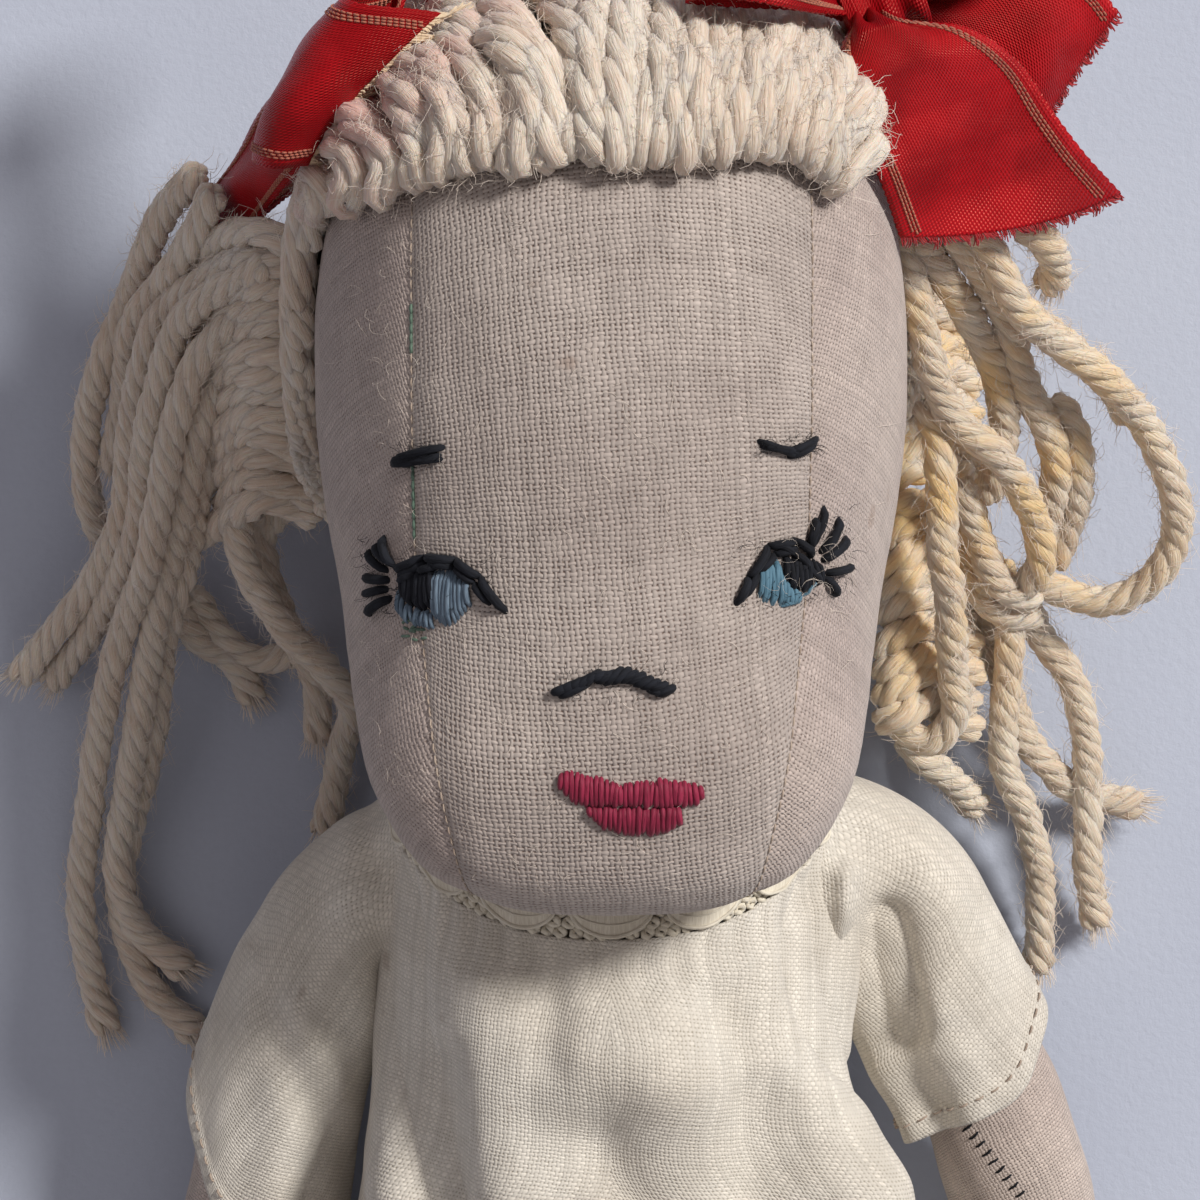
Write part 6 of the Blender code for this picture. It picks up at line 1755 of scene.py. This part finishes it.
# Places counted from the knot in ribbon widths: middle, half width and the direction across
bow_tables = {
    "l_loop_in": [
        ((-0.12, 0.02, 0.04), 0.14, (0, 1, 0)), ((-0.40, 0.16, 0.52), 0.34, (0, 1, 0.1)),
        ((-0.66, 0.24, 0.74), 0.42, (0.1, 1, 0.1)), ((-0.84, 0.27, 0.68), 0.44, (0.15, 1, 0.1)),
        ((-0.84, 0.27, 0.54), 0.43, (0.15, 1, 0.1)), ((-0.64, 0.24, 0.48), 0.40, (0.1, 1, 0.1)),
        ((-0.40, 0.16, 0.32), 0.30, (0, 1, 0.1)), ((-0.12, 0.02, -0.02), 0.14, (0, 1, 0)),
    ],
    "l_loop_out": [
        ((0.10, 0.08, 0.04), 0.14, (-0.5, 1, 0)), ((0.32, 0.30, 0.17), 0.32, (-0.6, 1, 0.1)),
        ((0.52, 0.52, 0.18), 0.42, (-0.7, 1, 0.1)), ((0.66, 0.66, 0.06), 0.44, (-0.7, 1, 0.1)),
        ((0.64, 0.66, -0.08), 0.43, (-0.7, 1, 0.1)), ((0.48, 0.50, -0.12), 0.40, (-0.7, 1, 0.1)),
        ((0.30, 0.30, -0.08), 0.30, (-0.6, 1, 0.1)), ((0.10, 0.08, -0.03), 0.14, (-0.5, 1, 0)),
    ],
    "l_tail_back": [
        ((0.14, -0.08, -0.08), 0.12, (0, 1, 0)), ((0.44, -0.10, -0.18), 0.26, (0.2, 1, 0.1)),
        ((0.68, -0.14, -0.26), 0.36, (0.45, 1, 0.1)), ((0.88, -0.24, -0.36), 0.42, (0.6, 1, 0.1)),
        ((1.00, -0.36, -0.50), 0.44, (0.7, 1, 0.1)),
    ],
    "r_loop_in": [
        ((0.12, 0.03, 0.04), 0.14, (0, 1, 0)), ((0.40, 0.14, 0.24), 0.34, (0, 1, 0.1)),
        ((0.66, 0.24, 0.30), 0.42, (-0.1, 1, 0.1)), ((0.84, 0.28, 0.22), 0.44, (-0.15, 1, 0.1)),
        ((0.84, 0.28, 0.09), 0.43, (-0.15, 1, 0.1)), ((0.64, 0.24, 0.02), 0.40, (-0.1, 1, 0.1)),
        ((0.40, 0.14, 0.01), 0.30, (0, 1, 0.1)), ((0.12, 0.03, -0.03), 0.14, (0, 1, 0)),
    ],
    "r_tail_back": [
        ((-0.02, 0.16, -0.02), 0.14, (1, 0, 0)), ((-0.10, 0.50, -0.16), 0.30, (1, 0.1, 0.1)),
        ((-0.22, 0.78, -0.30), 0.40, (1, 0.2, 0.1)), ((-0.30, 1.02, -0.50), 0.44, (1, 0.2, 0.1)),
    ],
}
# Places given by pixels of the view: one edge, the other edge, and how far the middle bulges
bow_routes = {
    "l_tail_front": [
        ((852, 18, 62), (878, 14, 61), (0, 0, 0)), ((843, 42, 65), (908, 22, 65), (0, -4, 2.2)),
        ((841, 70, 66), (965, 30, 64), (0, 4, 1.6)), ((855, 112, 65), (1018, 64, 60), (0, 4, -0.6)),
        ((872, 156, 62), (1056, 118, 56), (0, 4, -1.0)), ((888, 200, 58), (1088, 160, 51), (0, 8, -0.4)),
        ((902, 238, 55), (1120, 194, 47), (0, 14, 0.3)),
    ],
    "r_tail_front": [
        ((400, -20, 60), (300, 130, 50), (-10, 0, 0)), ((362, -6, 65), (268, 150, 56), (-16, 0, 0)),
        ((345, 0, 69), (257, 158, 61), (-22, 0, 0.4)), ((356, 4, 72), (262, 164, 65), (-22, 0, 1.2)),
        ((394, 9, 72), (282, 168, 65.5), (-18, 0, 1.6)), ((440, 14, 70), (310, 165, 63), (-12, 0, 1.4)),
    ],
    "r_loop_out": [
        ((402, -52, 60), (412, -30, 61), (0, 0, 0)), ((356, 2, 55), (384, 66, 60), (-2, 0, 1.2)),
        ((314, 50, 50), (342, 122, 57), (-3, 0, 1.8)), ((278, 94, 45), (308, 160, 52), (-3, 0, 2.0)),
        ((246, 138, 40), (282, 188, 47), (-3, 0, 1.8)), ((218, 182, 35), (260, 214, 42), (-2, 0, 1.6)),
        ((198, 222, 30), (242, 242, 36), (0, 0, 1.2)), ((190, 252, 26), (228, 260, 31), (0, 0, 0.6)),
        ((196, 268, 21), (214, 270, 24), (0, 0, 0)), ((198, 256, 17), (224, 258, 20), (0, 0, 0)),
        ((214, 220, 18), (246, 236, 23), (0, 0, 0)), ((240, 176, 25), (274, 206, 30), (0, 0, 0)),
        ((282, 124, 34), (312, 168, 39), (0, 0, 0)), ((338, 66, 45), (350, 104, 49), (0, 0, 0)),
    ],
}
bow_ends = {"l_tail_front": FRINGE_RED, "l_tail_back": FRINGE_RED, "r_tail_front": FRINGE_CREAM,
            "r_tail_back": FRINGE_RED}


def strip_points(stops, across_count=31):
    """A smooth strip through rows of two edges and a bulge between them, in millimetres."""
    lines = [smooth_line([s[k] for s in stops], 0.5) for k in range(2)]
    count = max(len(line) for line in lines)
    even = np.linspace(0, 1, count)
    lefts, rights = (np.stack([np.interp(even, np.linspace(0, 1, len(l)), l[:, c]) for c in range(3)],
                            -1) for l in lines)
    bulges = np.array([s[2] for s in stops], float)
    bulge = np.stack([np.interp(even, np.linspace(0, 1, len(bulges)), bulges[:, c]) for c in range(3)], -1)
    t = np.linspace(0, 1, across_count)
    points = lefts[:, None] * (1 - t)[None, :, None] + rights[:, None] * t[None, :, None]
    return points + bulge[:, None] * (4 * t * (1 - t))[None, :, None]


def bow_piece(key):
    mark, part = key.split("_", 1)
    knot = knots[mark]
    if key in bow_tables:
        stops = []
        for middle, half, across in bow_tables[key]:
            spot = knot + np.array(middle) * RIBBON_WIDTH
            side = unit(np.array(across, float)) * half * RIBBON_WIDTH
            stops.append((spot - side, spot + side, (0, 0, 0)))
    else:
        stops = []
        for a, b, bulge in bow_routes[key]:
            stops.append((place(*a), place(*b), (bulge[0] * PX, -bulge[1] * PX, bulge[2])))
    points = strip_points(stops)
    count, across = points.shape[:2]
    t = np.linspace(0, 1, across)
    down = np.linalg.norm(np.diff(points[:, across // 2], axis=0), axis=-1)
    way = np.concatenate(([0.0], np.cumsum(down)))
    normal = unit(np.cross(np.gradient(points, axis=0), np.gradient(points, axis=1)))
    near = np.exp(-way / 4.5)
    if "loop" in part:
        near = near + np.exp(-(way[-1] - way) / 4.5)
    phase = dice.uniform(0, TAU)
    pleat = (1.0 if "tail" in part else 0.75) * near[:, None] * np.sin(t[None] * TAU * 2.6 + phase)
    wave = 0.35 * np.sin(t[None] * TAU * 0.9 + way[:, None] * 0.35 + phase) * (1 - near[:, None])
    points = points + normal * (pleat + wave)[..., None]
    picot = 0.26 * np.abs(np.sin(way * math.pi / 1.1))[:, None]
    points[:, 0] += unit(points[:, 0] - points[:, 1]) * picot
    points[:, -1] += unit(points[:, -1] - points[:, -2]) * picot
    cloth = np.stack((np.broadcast_to((t * RIBBON_WIDTH)[None], (count, across)),
                      np.broadcast_to(way[:, None], (count, across))), -1)
    pile = Pile()
    pile.grid(points, cloth)
    made = pile.object("ribbon_" + key, SATIN)
    solidify(made, 0.3, 0.0)
    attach(made, "head")
    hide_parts("bow_" + key)
    threads = Pile()
    for column, turn in ((0.060, 0.0), (0.078, 0.36), (0.096, 0.0), (0.904, 0.0), (0.922, 0.36),
                         (0.940, 0.0)):
        j = column * (across - 1)
        low = int(j)
        line = points[:, low] * (1 - j + low) + points[:, low + 1] * (j - low)
        norm = normal[:, low]
        at = 0.4 + turn
        while at < way[-1] - 0.8:
            spots = []
            for d in (0.0, 0.25, 0.5):
                spot = at_way(at + d, way, line)
                out = at_way(at + d, way, norm)
                spots.append((spot, out))
            for sign in (1, -1):
                threads.tube([s + o * sign * (0.17 + 0.08 * (i == 1)) for i, (s, o) in enumerate(spots)],
                             0.12, 4, at)
            at += 0.70
    threads = threads.object("ribbon_stitches_" + key, COPPER)
    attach(threads, "head")
    if key in bow_ends:
        fray = Pile()
        cream = bow_ends[key] is FRINGE_CREAM
        outward = unit(points[-1] - points[-3])
        for _ in range(300 if cream else 340):
            share = dice.random()
            clump = 0.5 + 0.5 * math.sin(share * TAU * 7 + 1.0)
            j = share * (across - 1)
            low = min(int(j), across - 2)
            start = points[-1, low] * (1 - j + low) + points[-1, low + 1] * (j - low)
            out, norm = outward[low], normal[-1, low]
            side = np.cross(out, norm)
            length = (0.5 + 3.4 * clump**2 * dice.uniform(0.5, 1)) if cream else dice.uniform(0.3, 1.3)
            lean = 0.5 * math.sin(share * TAU * 7 + 0.2) + dice.uniform(-0.25, 0.25)
            spots = [start - out * 0.4,
                     start + out * length * 0.5 + side * lean * length * 0.3 + norm * dice.uniform(-0.15,
                                             0.2),
                     start + out * length + side * lean * length + norm * dice.uniform(-0.3, 0.3)]
            fray.tube(smooth_line(spots, max(0.2, length / 4)), 0.10 if cream else 0.075, 4,
                      dice.random() * 9)
        fray = fray.object("ribbon_fray_" + key, bow_ends[key])
        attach(fray, "head")
    return made


# How far each knot is turned, in degrees
KNOT_LEAN = {"l": 25, "r": -30}


def bow_knot(mark):
    """The ribbon wrapped round the gathered loops, with its folds."""
    pile = Pile()
    rows, columns = 40, 72
    v = np.linspace(-1, 1, rows)
    turn = np.linspace(0, TAU, columns, endpoint=False)
    ring = 4.1 + 0.9 * np.abs(v) ** 2
    crease = 0.35 * np.sin(v * 9 + 1.5 * np.sin(turn[None].T)).T
    radius = ring[:, None] + crease * (1 - 0.3 * np.abs(v))[:, None]
    lean = math.radians(KNOT_LEAN[mark])
    axis = np.array((math.cos(lean), math.sin(lean), 0.0))
    over = np.array((-math.sin(lean), math.cos(lean), 0.0))
    points = knots[mark] + axis * (v[:, None, None] * 4.2) + over * (np.cos(turn)[None, :,
                            None] * radius[..., None] * 1.05)
    points = points + np.array((0, 0, 1.0)) * (np.sin(turn)[None, :, None] * radius[..., None] * 0.66)
    base = pile.grid(points, round_cloth(points)[..., ::-1], wraps=True)
    marks = round_cloth(points)
    pile.fan(np.arange(columns) + base, points[0].mean(0), marks[0], marks[0].mean(0), flip=True)
    pile.fan(np.arange(columns) + base + (rows - 1) * columns, points[-1].mean(0), marks[-1],
             marks[-1].mean(0))
    made = pile.object("bow_knot_" + mark, SATIN)
    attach(made, "head")
    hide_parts("bow_" + mark + "_knot")


for mark in ("l", "r"):
    bow_knot(mark)
for key in list(bow_tables) + list(bow_routes):
    bow_piece(key)

# Floor

pile = Pile()
pile.grid(np.array([[(-900, -900, 0), (900, -900, 0)], [(-900, 900, 0), (900, 900, 0)]], float),
          np.zeros((2, 2, 2)))
floor = pile.object("floor", paper_floor())

world = bpy.data.worlds.new("studio")
bpy.context.scene.world = world
world.use_nodes = True
world.node_tree.nodes["Background"].inputs[0].default_value = (0.92, 0.855, 0.885, 1.0)
world.node_tree.nodes["Background"].inputs[1].default_value = 0.24
